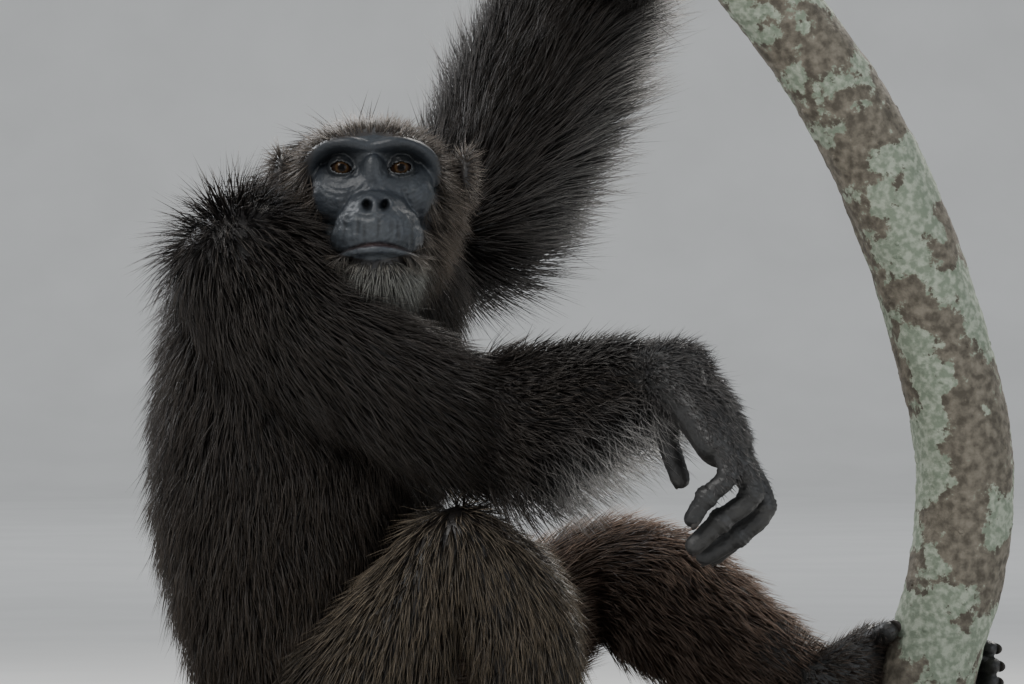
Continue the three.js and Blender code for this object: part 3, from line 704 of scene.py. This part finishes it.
def tufts(place, normal, lie, length, lift, width, rng, droop):
    """Closed three-sided tapering tufts: points, triangles and each point's share of the way to the tip."""
    lie = lie - normal * (lie * normal).sum(1, keepdims=True)
    lie = unit(lie + 0.16 * rng.normal(size=lie.shape))
    start = unit(lie * np.cos(lift + 0.25)[:, None] + normal * np.sin(lift + 0.25)[:, None])
    end = unit(lie * np.cos(lift - 0.2)[:, None] + normal * np.sin(lift - 0.2)[:, None])
    end = unit(end + np.array([0, 0, -droop]))
    side = unit(np.cross(lie, normal))
    face = unit(np.cross(side, lie))
    count = len(place)
    points = np.empty((count, BANDS * 3 + 1, 3))
    share = np.empty(BANDS * 3 + 1)
    for k in range(BANDS):
        u = k / BANDS
        centre = place - normal * 1.2 + (start * (u - u * u / 2) + end * (u * u / 2)) * length[:, None]
        size = width * (1 - u) ** 0.6
        for j in range(3):
            a = math.radians(90 + 120 * j)
            ring = side * (math.cos(a) * size)[:, None] + face * (math.sin(a) * size * 0.55)[:, None]
            points[:, k * 3 + j] = centre + ring
            share[k * 3 + j] = u
    points[:, -1] = place + (start * 0.5 + end * 0.5) * length[:, None]
    share[-1] = 1
    tri = [(0, 2, 1)]
    for k in range(BANDS - 1):
        for j in range(3):
            a, b = k * 3 + j, k * 3 + (j + 1) % 3
            tri += [(a, b, b + 3), (a, b + 3, a + 3)]
    base = (BANDS - 1) * 3
    tri += [(base + j, base + (j + 1) % 3, BANDS * 3) for j in range(3)]
    return points, np.array(tri), share


def unwrap(part, where):
    """Each root's place on the unwrap of the body: one cell a part, length by turn."""
    cell = np.stack([part % ATLAS, part // ATLAS], 1)
    return (cell + 0.03 + 0.94 * where) / ATLAS


def coat_pieces(name, points, tri, share, root, tip, uv, rng, tip_power):
    """Writes tufts as meshes under the size limit, with their colours and their map."""
    count, per = points.shape[:2]
    if not count:
        raise RuntimeError(f"{name} has no tufts")
    most = LIMIT // len(tri)
    tone = np.clip(rng.normal(1, 0.22, size=count), 0.4, 1.8)
    mix = (share ** tip_power)[None, :, None]
    spread = PATCH * np.stack([share - 0.5, (np.arange(per) % 3 - 1) / 2], 1)
    for piece, first in enumerate(range(0, count, most)):
        part = slice(first, min(first + most, count))
        n = part.stop - part.start
        mesh = bpy.data.meshes.new(f"{name}_{piece + 1}")
        faces = (tri[None] + (np.arange(n) * per)[:, None, None]).reshape(-1, 3)
        mesh.vertices.add(n * per)
        mesh.vertices.foreach_set("co", (points[part] * MM).astype(np.float32).ravel())
        mesh.loops.add(len(faces) * 3)
        mesh.loops.foreach_set("vertex_index", faces.astype(np.int32).ravel())
        mesh.polygons.add(len(faces))
        mesh.polygons.foreach_set("loop_start", np.arange(0, len(faces) * 3, 3, dtype=np.int32))
        mesh.update(calc_edges=True)
        smooth(mesh)
        colour = blend(root[part][:, None], tip[part][:, None], mix) * tone[part][:, None, None]
        painted(mesh, "coat", colour.reshape(-1, 3))
        spot = (uv[part][:, None] + spread[None]).reshape(-1, 2)[faces.ravel()]
        uv_layer = mesh.uv_layers.new(name="OFBake")
        uv_layer.data.foreach_set("uv", spot.astype(np.float32).ravel())
        finished(placed(mesh.name, mesh), coat_material(), "coat")


def grown(name, place, normal, fields, uv, rng):
    """A coat from its roots, its fields and each root's place on the map."""
    lie, length, lift, root, tip = fields
    lengths, lifts, widths, thickness, droop, tip_power = COATS[name]
    count = len(place)
    length = length * rng.uniform(*lengths, count)
    lift = lift * rng.uniform(*lifts, count)
    width = thickness * settings().tuft_width / MM * rng.uniform(*widths, count)
    points, tri, share = tufts(place, normal, lie, length, lift, width, rng, droop)
    points[:, :, 2] = np.maximum(points[:, :, 2], BASE_TOP + 0.8)
    coat_pieces(f"coat_{name}", points, tri, share, root, tip, uv, rng, tip_power)


# Materials
def node_group(name, inputs, outputs):
    """An empty shader group with number inputs, their defaults, and number outputs."""
    group = bpy.data.node_groups.new(name, "ShaderNodeTree")
    for socket, value in inputs.items():
        made = group.interface.new_socket(socket, in_out="INPUT", socket_type="NodeSocketFloat")
        made.default_value = value
    for socket in outputs:
        group.interface.new_socket(socket, in_out="OUTPUT", socket_type="NodeSocketFloat")
    return group, group.nodes.new("NodeGroupInput"), group.nodes.new("NodeGroupOutput")


def mottle_group():
    """Two sizes of noise on Object coordinates: a mask for colour and a height for bump."""
    if "mottle" in bpy.data.node_groups:
        return bpy.data.node_groups["mottle"]
    inputs = {"Large": 30.0, "Fine": 400.0, "Detail": 6.0}
    group, source, sink = node_group("mottle", inputs, ("Mask", "Height"))
    place = group.nodes.new("ShaderNodeTexCoord")
    for scale, out in (("Large", "Mask"), ("Fine", "Height")):
        noise = group.nodes.new("ShaderNodeTexNoise")
        group.links.new(place.outputs["Object"], noise.inputs["Vector"])
        group.links.new(source.outputs[scale], noise.inputs["Scale"])
        group.links.new(source.outputs["Detail"], noise.inputs["Detail"])
        group.links.new(noise.outputs["Fac"], sink.inputs[out])
    return group


def principled(name, roughness, **sockets):
    material = bpy.data.materials.new(name)
    material.use_nodes = True
    shader = material.node_tree.nodes["Principled BSDF"]
    shader.inputs["Roughness"].default_value = roughness
    for socket, value in sockets.items():
        shader.inputs[socket.replace("_", " ")].default_value = value
    return material, material.node_tree.nodes, material.node_tree.links, shader


def two_tones(nodes, links, factor, low, high, dark, light):
    """A colour that goes from dark to light as the factor goes from low to high."""
    ramp = nodes.new("ShaderNodeValToRGB")
    for stop, place, colour in zip(ramp.color_ramp.elements, (low, high), (dark, light)):
        stop.position = place
        stop.color = (*colour, 1)
    links.new(factor, ramp.inputs["Fac"])
    return ramp.outputs["Color"]


def mixed(nodes, links, first, second, blend_type="MIX"):
    """A colour mix of two sockets: its factor and its result."""
    mix = nodes.new("ShaderNodeMix")
    mix.data_type = "RGBA"
    mix.blend_type = blend_type
    links.new(first, mix.inputs[6])
    links.new(second, mix.inputs[7])
    return mix.inputs[0], mix.outputs[2]


def mottled(material, shader, dark, light, large, fine, bump, detail=6.0, colour_from=None):
    """Colour between two tones and a fine bump, from the mottle group."""
    nodes, links = material.node_tree.nodes, material.node_tree.links
    group = nodes.new("ShaderNodeGroup")
    group.node_tree = mottle_group()
    for socket, value in (("Large", large), ("Fine", fine), ("Detail", detail)):
        group.inputs[socket].default_value = value
    result = two_tones(nodes, links, group.outputs["Mask"], 0.36, 0.66, dark, light)
    if colour_from:
        attribute = nodes.new("ShaderNodeAttribute")
        attribute.attribute_name = colour_from
        factor, result = mixed(nodes, links, attribute.outputs["Color"], result, "MULTIPLY")
        factor.default_value = 1.0
    links.new(result, shader.inputs["Base Color"])
    height = nodes.new("ShaderNodeBump")
    height.inputs["Strength"].default_value = bump
    height.inputs["Distance"].default_value = 0.0008
    links.new(group.outputs["Height"], height.inputs["Height"])
    links.new(height.outputs["Normal"], shader.inputs["Normal"])
    return result


def coat_material():
    if "hair" in bpy.data.materials:
        return bpy.data.materials["hair"]
    material, nodes, links, shader = principled("hair", 0.46, Specular_IOR_Level=0.45)
    attribute = nodes.new("ShaderNodeAttribute")
    attribute.attribute_name = "coat"
    links.new(attribute.outputs["Color"], shader.inputs["Base Color"])
    return material


def skin_material():
    material, _, _, shader = principled("skin", 0.44)
    mottled(material, shader, (0.82, 0.84, 0.88), (1.18, 1.16, 1.12), 55, 420, 0.75, 10, "skin")
    return material


def painted(mesh, name, colours):
    layer = mesh.color_attributes.new(name, "FLOAT_COLOR", "POINT")
    rgba = np.concatenate([colours, np.ones((len(colours), 1))], 1)
    layer.data.foreach_set("color", rgba.astype(np.float32).ravel())


def face_colours(p, bare):
    """The bare skin: paler muzzle and lower lids, painted shade in the sockets under the brow, inside the
    nostrils and in the grooves over the upper lip, and reddish lips.
    """
    x, _, z = FACE
    face = blend(FACE_SKIN, MUZZLE_SKIN, 0.35 * bounded((z - 40 - p[:, 2]) / 14)[:, None] * bare)
    for which in (-1, 1):
        across, up = p[:, 0] - x - which * EYE_SPACING / 2, p[:, 2] - z
        # Painted shade under the brow: the skin round each eye is darkened.
        socket = fall(np.hypot((across - which * 2) / 1.25, up - 6), 17)
        lid = fall(np.hypot(across / 8.5, up / 4.1) - 1.15, 0.16) * (up < 0)
        face = blend(face * (1 - 0.85 * socket)[:, None], LID_SKIN, 0.5 * lid[:, None])
        # Painted shade inside each nostril.
        across, up = from_nostril(p, which)
        hole = fall(np.hypot(across / NOSTRIL["half_width"], up / NOSTRIL["half_height"]), 0.9)
        face = face * (1 - 0.9 * hole)[:, None]
    line = mouth_line(p)
    # Painted shade in the grooves of the upright folds over the upper lip.
    upper = bounded((p[:, 2] - line - 3) / 5) * bounded((z - 42 - p[:, 2]) / 6)
    face = face * (1 - 0.5 * bounded(lip_folds(p)) * upper)[:, None]
    fine = waves(p * np.array([1, 1, 2.0]), 7, 64) + 0.7 * waves(p, 4, 65)
    face = face * (1 + 0.16 * fine)[:, None]
    red = np.array(LIP_RED) * fall(p[:, 0] - LIPS_X, 20)[:, None]
    return blend(face, red, 0.75 * fall(p[:, 2] - line, 1.6)[:, None] * bare)


def hand_relief(p):
    """Height of the fine relief of hands and feet, with folds round the joints."""
    relief = 0.22 * waves(p, 4.5, 21) + 0.25 * waves(p, 8, 22)
    for points in [*DIGITS_RIGHT.values(), *left_fingers(), right_toes()[1], left_toes()[1]]:
        q = np.array(points, float)
        for before, joint, after in zip(q, q[1:], q[2:]):
            folds = 0.5 + 0.5 * np.sin((p - joint) @ unit(after - before) * 1.5)
            relief -= 1.3 * folds * fall(distance(p, joint), 13)
    return relief


def finished(obj, material, slot, *nodes):
    obj.data.materials.clear()
    obj.data.materials.append(material)
    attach(obj, "root")
    if nodes:
        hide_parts(*nodes)
    return obj


def bark_material():
    """Mottled bark under sharp-edged patches of lichen."""
    material, nodes, links, shader = principled("bark", 0.85)
    bark = mottled(material, shader, (0.070, 0.060, 0.045), (0.195, 0.172, 0.135), 120, 420, 1.0, 12)
    place = nodes.new("ShaderNodeTexCoord")
    noises = []
    for scale, detail, roughness in ((15, 12, 0.68), (160, 8, 0.5)):
        noise = nodes.new("ShaderNodeTexNoise")
        noise.inputs["Scale"].default_value = scale
        noise.inputs["Detail"].default_value = detail
        noise.inputs["Roughness"].default_value = roughness
        links.new(place.outputs["Object"], noise.inputs["Vector"])
        noises.append(noise.outputs["Fac"])
    edge = two_tones(nodes, links, noises[0], 0.505, 0.525, (0, 0, 0), (1, 1, 1))
    lichen = two_tones(nodes, links, noises[1], 0.42, 0.62, (0.175, 0.21, 0.155), (0.33, 0.365, 0.29))
    factor, result = mixed(nodes, links, bark, lichen)
    links.new(edge, factor)
    links.new(result, shader.inputs["Base Color"])
    return material


# Geometry Nodes
def wart_nodes():
    """Flat round warts spread over a surface, as a Geometry Nodes tree with named inputs."""
    tree = bpy.data.node_groups.new("warts", "GeometryNodeTree")
    for name, kind in (("Surface", "Geometry"), ("Density", "Float"), ("Size", "Float"), ("Seed", "Int"),
                       ("Material", "Material")):
        tree.interface.new_socket(name, in_out="INPUT", socket_type=f"NodeSocket{kind}")
    tree.interface.new_socket("Warts", in_out="OUTPUT", socket_type="NodeSocketGeometry")
    kinds = {"source": "NodeGroupInput", "sink": "NodeGroupOutput",
             "spread": "GeometryNodeDistributePointsOnFaces", "ball": "GeometryNodeMeshIcoSphere",
             "flat": "GeometryNodeTransform", "vary": "FunctionNodeRandomValue",
             "copies": "GeometryNodeInstanceOnPoints", "real": "GeometryNodeRealizeInstances",
             "smooth": "GeometryNodeSetShadeSmooth", "bark": "GeometryNodeSetMaterial"}
    node = {name: tree.nodes.new(kind) for name, kind in kinds.items()}
    node["ball"].inputs["Subdivisions"].default_value = 2
    node["flat"].inputs["Scale"].default_value = (1.0, 1.0, 0.35)
    node["vary"].inputs[2].default_value = 0.4
    node["vary"].inputs[3].default_value = 1.3
    wires = [("source", "Surface", "spread", "Mesh"), ("source", "Density", "spread", "Density"),
             ("source", "Seed", "spread", "Seed"), ("source", "Seed", "vary", "Seed"),
             ("source", "Size", "ball", "Radius"), ("ball", "Mesh", "flat", "Geometry"),
             ("spread", "Points", "copies", "Points"), ("flat", 0, "copies", "Instance"),
             ("spread", "Rotation", "copies", "Rotation"), ("vary", 1, "copies", "Scale"),
             ("copies", 0, "real", 0), ("real", 0, "smooth", 0), ("smooth", 0, "bark", "Geometry"),
             ("source", "Material", "bark", "Material"), ("bark", 0, "sink", 0)]
    for start, output, end, socket in wires:
        tree.links.new(node[start].outputs[output], node[end].inputs[socket])
    return tree


def from_nodes(name, surface, tree, values):
    """A new mesh object from a Geometry Nodes tree run over another object's mesh."""
    obj = placed(name, surface.data.copy())
    nodes = obj.modifiers.new(name, "NODES")
    nodes.node_group = tree
    for socket in tree.interface.items_tree:
        if socket.in_out == "INPUT" and socket.name in values:
            nodes[socket.identifier] = values[socket.name]
    return applied(obj)


# Settings that a user would change
class ChimpanzeeSettings(bpy.types.PropertyGroup):
    body_tufts: bpy.props.IntProperty(
        name="Body tufts", description="Number of tufts on the body and limbs", default=94000, min=1000)
    head_tufts: bpy.props.IntProperty(
        name="Head tufts", description="Number of tufts on the head", default=38000, min=500)
    hand_tufts: bpy.props.IntProperty(
        name="Hand tufts", description="Number of tufts on hands and feet", default=19000, min=100)
    tuft_width: bpy.props.FloatProperty(
        name="Tuft width", description="Half width of a tuft at its root", default=0.0008, unit="LENGTH")
    seed: bpy.props.IntProperty(name="Seed", description="Seed of every random draw", default=11)
    base_colour: bpy.props.FloatVectorProperty(
        name="Base colour", description="Colour of the flat base", subtype="COLOR",
        default=(0.06, 0.055, 0.05))


def settings():
    return bpy.context.scene.chimpanzee


def skin(name):
    if f"skin_{name}" not in bpy.data.objects:
        raise RuntimeError(f"The skin of the {name} has to be made first")
    return bpy.data.objects[f"skin_{name}"]


# One operator for the stage and one for each group of pieces
class CHIMP_OT_stage(bpy.types.Operator):
    """Pale floor and backdrop, soft lights and the camera"""
    bl_idname = "chimp.stage"
    bl_label = "Stage"

    def execute(self, context):
        scene = context.scene
        bend = [(WALL_DEPTH - WALL_CURVE * (1 - math.sin(a)), WALL_CURVE * (1 - math.cos(a)))
                for a in np.linspace(0, math.pi / 2, 13)]
        profile = [(-FLOOR_REACH, 0), *bend, (WALL_DEPTH, WALL_HEIGHT)]
        verts = [(x, y, z) for x in (-FLOOR_REACH, FLOOR_REACH) for y, z in profile]
        n = len(profile)
        mesh = bpy.data.meshes.new("backdrop")
        mesh.from_pydata(verts, [], [(i, n + i, n + i + 1, i + 1) for i in range(n - 1)])
        smooth(mesh)
        floor = placed("backdrop", mesh)
        material, _, _, shader = principled("pale_floor", 0.9)
        mottled(material, shader, (0.60, 0.60, 0.59), (0.64, 0.64, 0.63), 3, 90, 0.1)
        mesh.materials.append(material)
        world = bpy.data.worlds.new("studio")
        world.use_nodes = True
        background = world.node_tree.nodes["Background"]
        background.inputs["Color"].default_value = (0.80, 0.84, 0.88, 1)
        background.inputs["Strength"].default_value = 0.55
        scene.world = world
        for name, (place, target, watts, size, colour) in LAMPS.items():
            light = bpy.data.lights.new(name, "AREA")
            light.energy = watts
            light.size = size
            light.color = colour
            lamp = bpy.data.objects.new(name, light)
            lamp.location = place
            lamp.rotation_euler = (Vector(target) - Vector(place)).to_track_quat("-Z", "Y").to_euler()
            scene.collection.objects.link(lamp)
        data = bpy.data.cameras.new("camera")
        data.sensor_width = SENSOR
        data.lens = SENSOR * CAMERA_DISTANCE / PICTURE_WIDTH
        camera = bpy.data.objects.new("camera", data)
        camera.location = (0, -CAMERA_DISTANCE, CAMERA_HEIGHT)
        camera.rotation_euler = (math.pi / 2, 0, 0)
        scene.collection.objects.link(camera)
        scene.camera = camera
        return {"FINISHED"}


class CHIMP_OT_base(bpy.types.Operator):
    """The flat base with rounded corners and a soft edge, and the rod's finish"""
    bl_idname = "chimp.base"
    bl_label = "Base and rod"

    def execute(self, context):
        low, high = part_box("stand_base")
        corner, bevel = 0.060, 0.0025
        outline = []
        for cx, cy, turn in ((1, 1, 0), (-1, 1, 90), (-1, -1, 180), (1, -1, 270)):
            for a in np.radians(np.linspace(turn, turn + 90, 13)):
                outline.append((cx * (high[0] - corner) + corner * math.cos(a),
                                cy * (high[1] - corner) + corner * math.sin(a)))
        bm = bmesh.new()
        face = bm.faces.new([bm.verts.new((x, y, low[2])) for x, y in outline])
        made = bmesh.ops.extrude_face_region(bm, geom=[face])
        for v in made["geom"]:
            if isinstance(v, bmesh.types.BMVert):
                v.co.z = high[2]
        bmesh.ops.recalc_face_normals(bm, faces=bm.faces)
        edges = [e for e in bm.edges if abs(e.verts[0].co.z - e.verts[1].co.z) < 1e-6]
        bmesh.ops.bevel(bm, geom=edges, offset=bevel, segments=3, profile=0.5, affect="EDGES")
        mesh = bpy.data.meshes.new("base_plate")
        bm.to_mesh(mesh)
        bm.free()
        material, _, _, shader = principled("base_lacquer", 0.42)
        dark, light = (tuple(c * tone for c in settings().base_colour) for tone in (0.85, 1.25))
        mottled(material, shader, dark, light, 14, 320, 0.12)
        finished(placed("base_plate", mesh), material, "base", "stand_base")
        steel, _, _, shader = principled("rod_steel", 0.32, Metallic=1.0)
        mottled(steel, shader, (0.50, 0.50, 0.51), (0.62, 0.62, 0.62), 40, 900, 0.15)
        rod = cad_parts["stand_rod"]
        rod.data.materials.clear()
        rod.data.materials.append(steel)
        return {"FINISHED"}


class CHIMP_OT_stem(bpy.types.Operator):
    """The cut length of stem with its bark, lichen and warts"""
    bl_idname = "chimp.stem"
    bl_label = "Stem"

    def execute(self, context):
        bottom, top, rim = 78, 952, 4
        mesh = mesh_of("stem", [tube(STEM, (0, 1, 0), 0.6, 72, 300, 2, 0.4)])
        recalculated(mesh)
        bm = bmesh.new()
        bm.from_mesh(mesh)
        for height, keep in ((bottom, 1), (top, -1)):
            cut = bmesh.ops.bisect_plane(
                bm, geom=bm.verts[:] + bm.edges[:] + bm.faces[:], plane_co=(0, 0, height * MM),
                plane_no=(0, 0, keep), clear_inner=True)
            edges = [e for e in cut["geom_cut"] if isinstance(e, bmesh.types.BMEdge)]
            bmesh.ops.holes_fill(bm, edges=edges, sides=0)
        bm.to_mesh(mesh)
        bm.free()
        p, n = coords(mesh), normals(mesh)
        inner = (p[:, 2] > bottom + rim) & (p[:, 2] < top - rim)
        swell = 0.9 * waves(p, 46, 3) + 0.6 * waves(p, 17, 4) + 0.35 * waves(p, 7, 8)
        foot_grip = np.array([FOOT_GRIP["x"], FOOT_GRIP["y"], 210])
        gripped = np.maximum(fall(distance(p, GRIP["place"]), 60), fall(distance(p, foot_grip), 55))
        set_coords(mesh, p + n * ((swell - 0.4) * inner * (1 - 0.8 * gripped))[:, None])
        smooth(mesh)
        bark = bark_material()
        stem = finished(placed("stem", mesh), bark, "bark", "perch_lower", "perch_middle", "perch_upper")
        values = {"Density": 900.0, "Size": 0.0022, "Seed": settings().seed, "Material": bark}
        warts = from_nodes("stem_warts", stem, wart_nodes(), values)
        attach(warts, "root")
        return {"FINISHED"}


class CHIMP_OT_skin(bpy.types.Operator):
    """The skin of the body, head, hands and feet"""
    bl_idname = "chimp.skin"
    bl_label = "Skin"

    def execute(self, context):
        material = skin_material()
        body = []
        for name, (stations, side, _, coat, *_rest) in PARTS.items():
            body.append(tube(stations, side, coat, 28, 30, 6, 0.75 if name == "torso" else 1.0))
        body.append(tube(NECK, (1, 0, 0), 16, 24, 16))
        trunk = fused("body", body)
        p = coords(trunk.data)
        p[:, 2] = np.maximum(p[:, 2], BASE_TOP + 1)
        set_coords(trunk.data, p)
        painted(trunk.data, "skin", bone_fields(p)[5] * 1.2)
        finished(trunk, material, "coat", *BODY_NODES)
        head = fused("head", head_shapes())
        sculpt_head(head)
        p = coords(head.data)
        bare = bare_face(p)[:, None]
        painted(head.data, "skin", blend(SCALP, face_colours(p, bare), bare))
        finished(head, material, "face_skin", *HEAD_NODES)
        for name, one, shapes in (("hands", "hand", hand_shapes()), ("feet", "foot", foot_shapes())):
            part = fused(name, shapes)
            p = coords(part.data)
            p = p + normals(part.data) * hand_relief(p)[:, None]
            p[:, 2] = np.maximum(p[:, 2], BASE_TOP + 0.6)
            set_coords(part.data, p)
            painted(part.data, "skin", np.array(HAND_SKIN) * (1 + 0.25 * waves(p, 22, 31)[:, None]))
            finished(part, material, "hand_skin", f"{one}_right", f"{one}_left")
        return {"FINISHED"}


class CHIMP_OT_eyes(bpy.types.Operator):
    """Two eyes with iris, pupil and a glossy, bulging front"""
    bl_idname = "chimp.eyes"
    bl_label = "Eyes"

    def execute(self, context):
        material, nodes, links, shader = principled("eye", 0.06, Specular_IOR_Level=0.12)
        ring = nodes.new("ShaderNodeAttribute")
        ring.attribute_name = "ring"
        ramp = nodes.new("ShaderNodeValToRGB")
        elements = ramp.color_ramp.elements
        elements[0].color = (*EYE_RINGS[0.0], 1)
        elements[1].color = (*EYE_RINGS[1.0], 1)
        for place in list(EYE_RINGS)[1:-1]:
            elements.new(place).color = (*EYE_RINGS[place], 1)
        links.new(ring.outputs["Fac"], ramp.inputs["Fac"])
        links.new(ramp.outputs["Color"], shader.inputs["Base Color"])
        for which, name in ((-1, "right"), (1, "left")):
            centre = FACE + np.array([which * EYE_SPACING / 2, EYE_RADIUS + 1, 0])
            p, faces = blob((0, 0, 0), (1, 1, 1), 0, 64, 48)
            p = unit(p)
            angle = np.arccos(np.clip(p @ np.array(GAZE), -1, 1))
            bulge = 1 + 0.045 * np.exp(-(angle / 0.5) ** 4)
            mesh = mesh_of(f"eyeball_{name}", [(p * (EYE_RADIUS * bulge)[:, None] + centre, faces)])
            recalculated(mesh)
            layer = mesh.attributes.new("ring", "FLOAT", "POINT")
            layer.data.foreach_set("value", (angle / 1.1).astype(np.float32))
            smooth(mesh)
            finished(placed(f"eyeball_{name}", mesh), material, "eye", f"eye_{name}")
        return {"FINISHED"}


class CHIMP_OT_nails(bpy.types.Operator):
    """A nail on every finger and toe"""
    bl_idname = "chimp.nails"
    bl_label = "Nails"

    def execute(self, context):
        toes_right, big_right = right_toes()
        toes_left, big_left = left_toes()
        hands = [(d, FINGER) for d in list(DIGITS_RIGHT.values()) + left_fingers()]
        feet = [(d, TOE) for d in toes_right + toes_left] + [(big_right, TOE + 3), (big_left, TOE + 3)]
        shapes = []
        for points, radius in hands + feet:
            q = np.array(points, float)
            tip = radius * 0.78
            along = unit(q[-1] - q[-2])
            bend = (q[0] + q[-1]) / 2 - q[len(q) // 2]
            if np.linalg.norm(bend) < 4:
                bend = np.array([0, 0, -1.0])
            back = unit(-bend + along * (bend @ along))
            side = np.cross(along, back)
            shape, faces = blob((0, 0, 0), (1, 1, 1), 0, 20, 12)
            local = shape * np.array([tip * 0.72, tip * 0.95, tip * 0.30])
            local[:, 2] -= (local[:, 0] / tip) ** 2 * tip * 0.35
            place = q[-1] + along * tip * 0.30 + back * tip * 0.83
            shapes.append((local @ np.array([side, along, back]) + place, faces))
        mesh = mesh_of("nails", shapes)
        recalculated(mesh)
        smooth(mesh)
        material, _, _, shader = principled("nail", 0.34)
        mottled(material, shader, (0.018, 0.015, 0.014), (0.045, 0.038, 0.034), 120, 900, 0.2)
        finished(placed("nails", mesh), material, "hand_skin")
        return {"FINISHED"}


class CHIMP_OT_body_coat(bpy.types.Operator):
    """The long coat of the body and limbs"""
    bl_idname = "chimp.body_coat"
    bl_label = "Body coat"

    def execute(self, context):
        s = settings()
        place, normal, rng = scattered(skin("body"), s.body_tufts, s.seed)
        keep = (place[:, 2] > 40) | (normal[:, 2] > -0.3)
        keep &= distance((place - SKULL) / SKULL_RADII, 0) >= 1
        place, normal = place[keep], normal[keep]
        part, where, lie, length, lift, root, tip = bone_fields(place)
        wander = np.stack([waves(place, 60, k) for k in (41, 42, 43)], 1)
        lie = unit(lie + np.array([0, 0, -0.25]) + 0.22 * wander)
        length = length * (1 + 0.12 * waves(place, 40, 44))
        fields = special_places(place, normal, part, lie, length, lift, root, tip)
        grown("body", place, normal, fields, unwrap(part, where), rng)
        return {"FINISHED"}


class CHIMP_OT_head_coat(bpy.types.Operator):
    """The hair of the head, cheeks and chin"""
    bl_idname = "chimp.head_coat"
    bl_label = "Head coat"

    def execute(self, context):
        s = settings()
        place, normal, rng = scattered(skin("head"), s.head_tufts, s.seed + 1)
        x, y, z = FACE
        in_neck = (place[:, 2] < 585) & (place[:, 1] > y + 70)
        keep = rng.random(len(place)) < np.where(in_neck, 0, 1 - bare_face(place))
        place, normal = place[keep], normal[keep]
        lie, *others = head_fields(place)
        lie = unit(lie + 0.15 * np.stack([waves(place, 30, k) for k in (51, 52, 53)], 1))
        rel = place - np.array([x, y + 60, z - 30])
        turn = np.arctan2(rel[:, 1], rel[:, 0]) / (2 * math.pi) % 1
        where = np.stack([turn, bounded((rel[:, 2] + 120) / 240)], 1)
        part = np.full(len(place), ATLAS * ATLAS - 1)
        grown("head", place, normal, (lie, *others), unwrap(part, where), rng)
        return {"FINISHED"}


class CHIMP_OT_hand_coat(bpy.types.Operator):
    """Short hair on the backs of hands and feet"""
    bl_idname = "chimp.hand_coat"
    bl_label = "Hand and foot coat"

    def execute(self, context):
        s = settings()
        for index, (name, (wrists, upward, tips)) in enumerate(SHORT_HAIR.items()):
            place, normal, rng = scattered(skin(name), s.hand_tufts, s.seed + 2 + index)
            from_wrists = np.array([distance(place, wrist) for wrist in wrists])
            reach, nearest = from_wrists.min(0), from_wrists.argmin(0)
            chance = bounded((92 - reach) / 40)
            if name == "hands":
                back = bounded(normal @ unit([0.75, -0.6, 0.3]) * 2 + 0.3)
                back = np.maximum(back, bounded((48 - reach) / 16))
                thumb = spline(DIGITS_RIGHT["thumb"], np.linspace(0.2, 1, 6))
                off_thumb = np.min([distance(place, q) for q in thumb], 0) > 18
                near_hand = place[:, 1] < -200
                chance = np.where(near_hand, back * off_thumb * bounded((128 - reach) / 40), chance)
            keep = (rng.random(len(place)) < chance) & (place[:, 2] > 30)
            place, normal, reach, nearest = place[keep], normal[keep], reach[keep], nearest[keep]
            lie = unit(place - (np.array(wrists) + upward)[nearest])
            length = 10 + 12 * bounded((80 - reach) / 60)
            root, tip = (np.tile(colour, (len(place), 1)) for colour in (BLACK, tips))
            where = np.stack([bounded(reach / 120), (normal[:, 0] + 1) / 2], 1)
            part = np.full(len(place), ATLAS * ATLAS - 2 - index)
            grown(name, place, normal, (lie, length, 0.4, root, tip), unwrap(part, where), rng)
        return {"FINISHED"}


class CHIMP_PT_panel(bpy.types.Panel):
    """Lists the pieces of the chimpanzee"""
    bl_label = "Chimpanzee"
    bl_space_type = "VIEW_3D"
    bl_region_type = "UI"
    bl_category = "Chimpanzee"

    def draw(self, context):
        for name in ChimpanzeeSettings.__annotations__:
            self.layout.prop(context.scene.chimpanzee, name)
        for operator in OPERATORS:
            self.layout.operator(operator.bl_idname)


OPERATORS = (CHIMP_OT_stage, CHIMP_OT_base, CHIMP_OT_stem, CHIMP_OT_skin, CHIMP_OT_eyes, CHIMP_OT_nails,
             CHIMP_OT_body_coat, CHIMP_OT_head_coat, CHIMP_OT_hand_coat)
CLASSES = (ChimpanzeeSettings, *OPERATORS, CHIMP_PT_panel)


def register():
    for cls in CLASSES:
        bpy.utils.register_class(cls)
    bpy.types.Scene.chimpanzee = bpy.props.PointerProperty(type=ChimpanzeeSettings)


def unregister():
    del bpy.types.Scene.chimpanzee
    for cls in reversed(CLASSES):
        bpy.utils.unregister_class(cls)


def main():
    register()
    for operator in OPERATORS:
        group, name = operator.bl_idname.split(".")
        getattr(getattr(bpy.ops, group), name)()


if __name__ == "__main__":
    main()
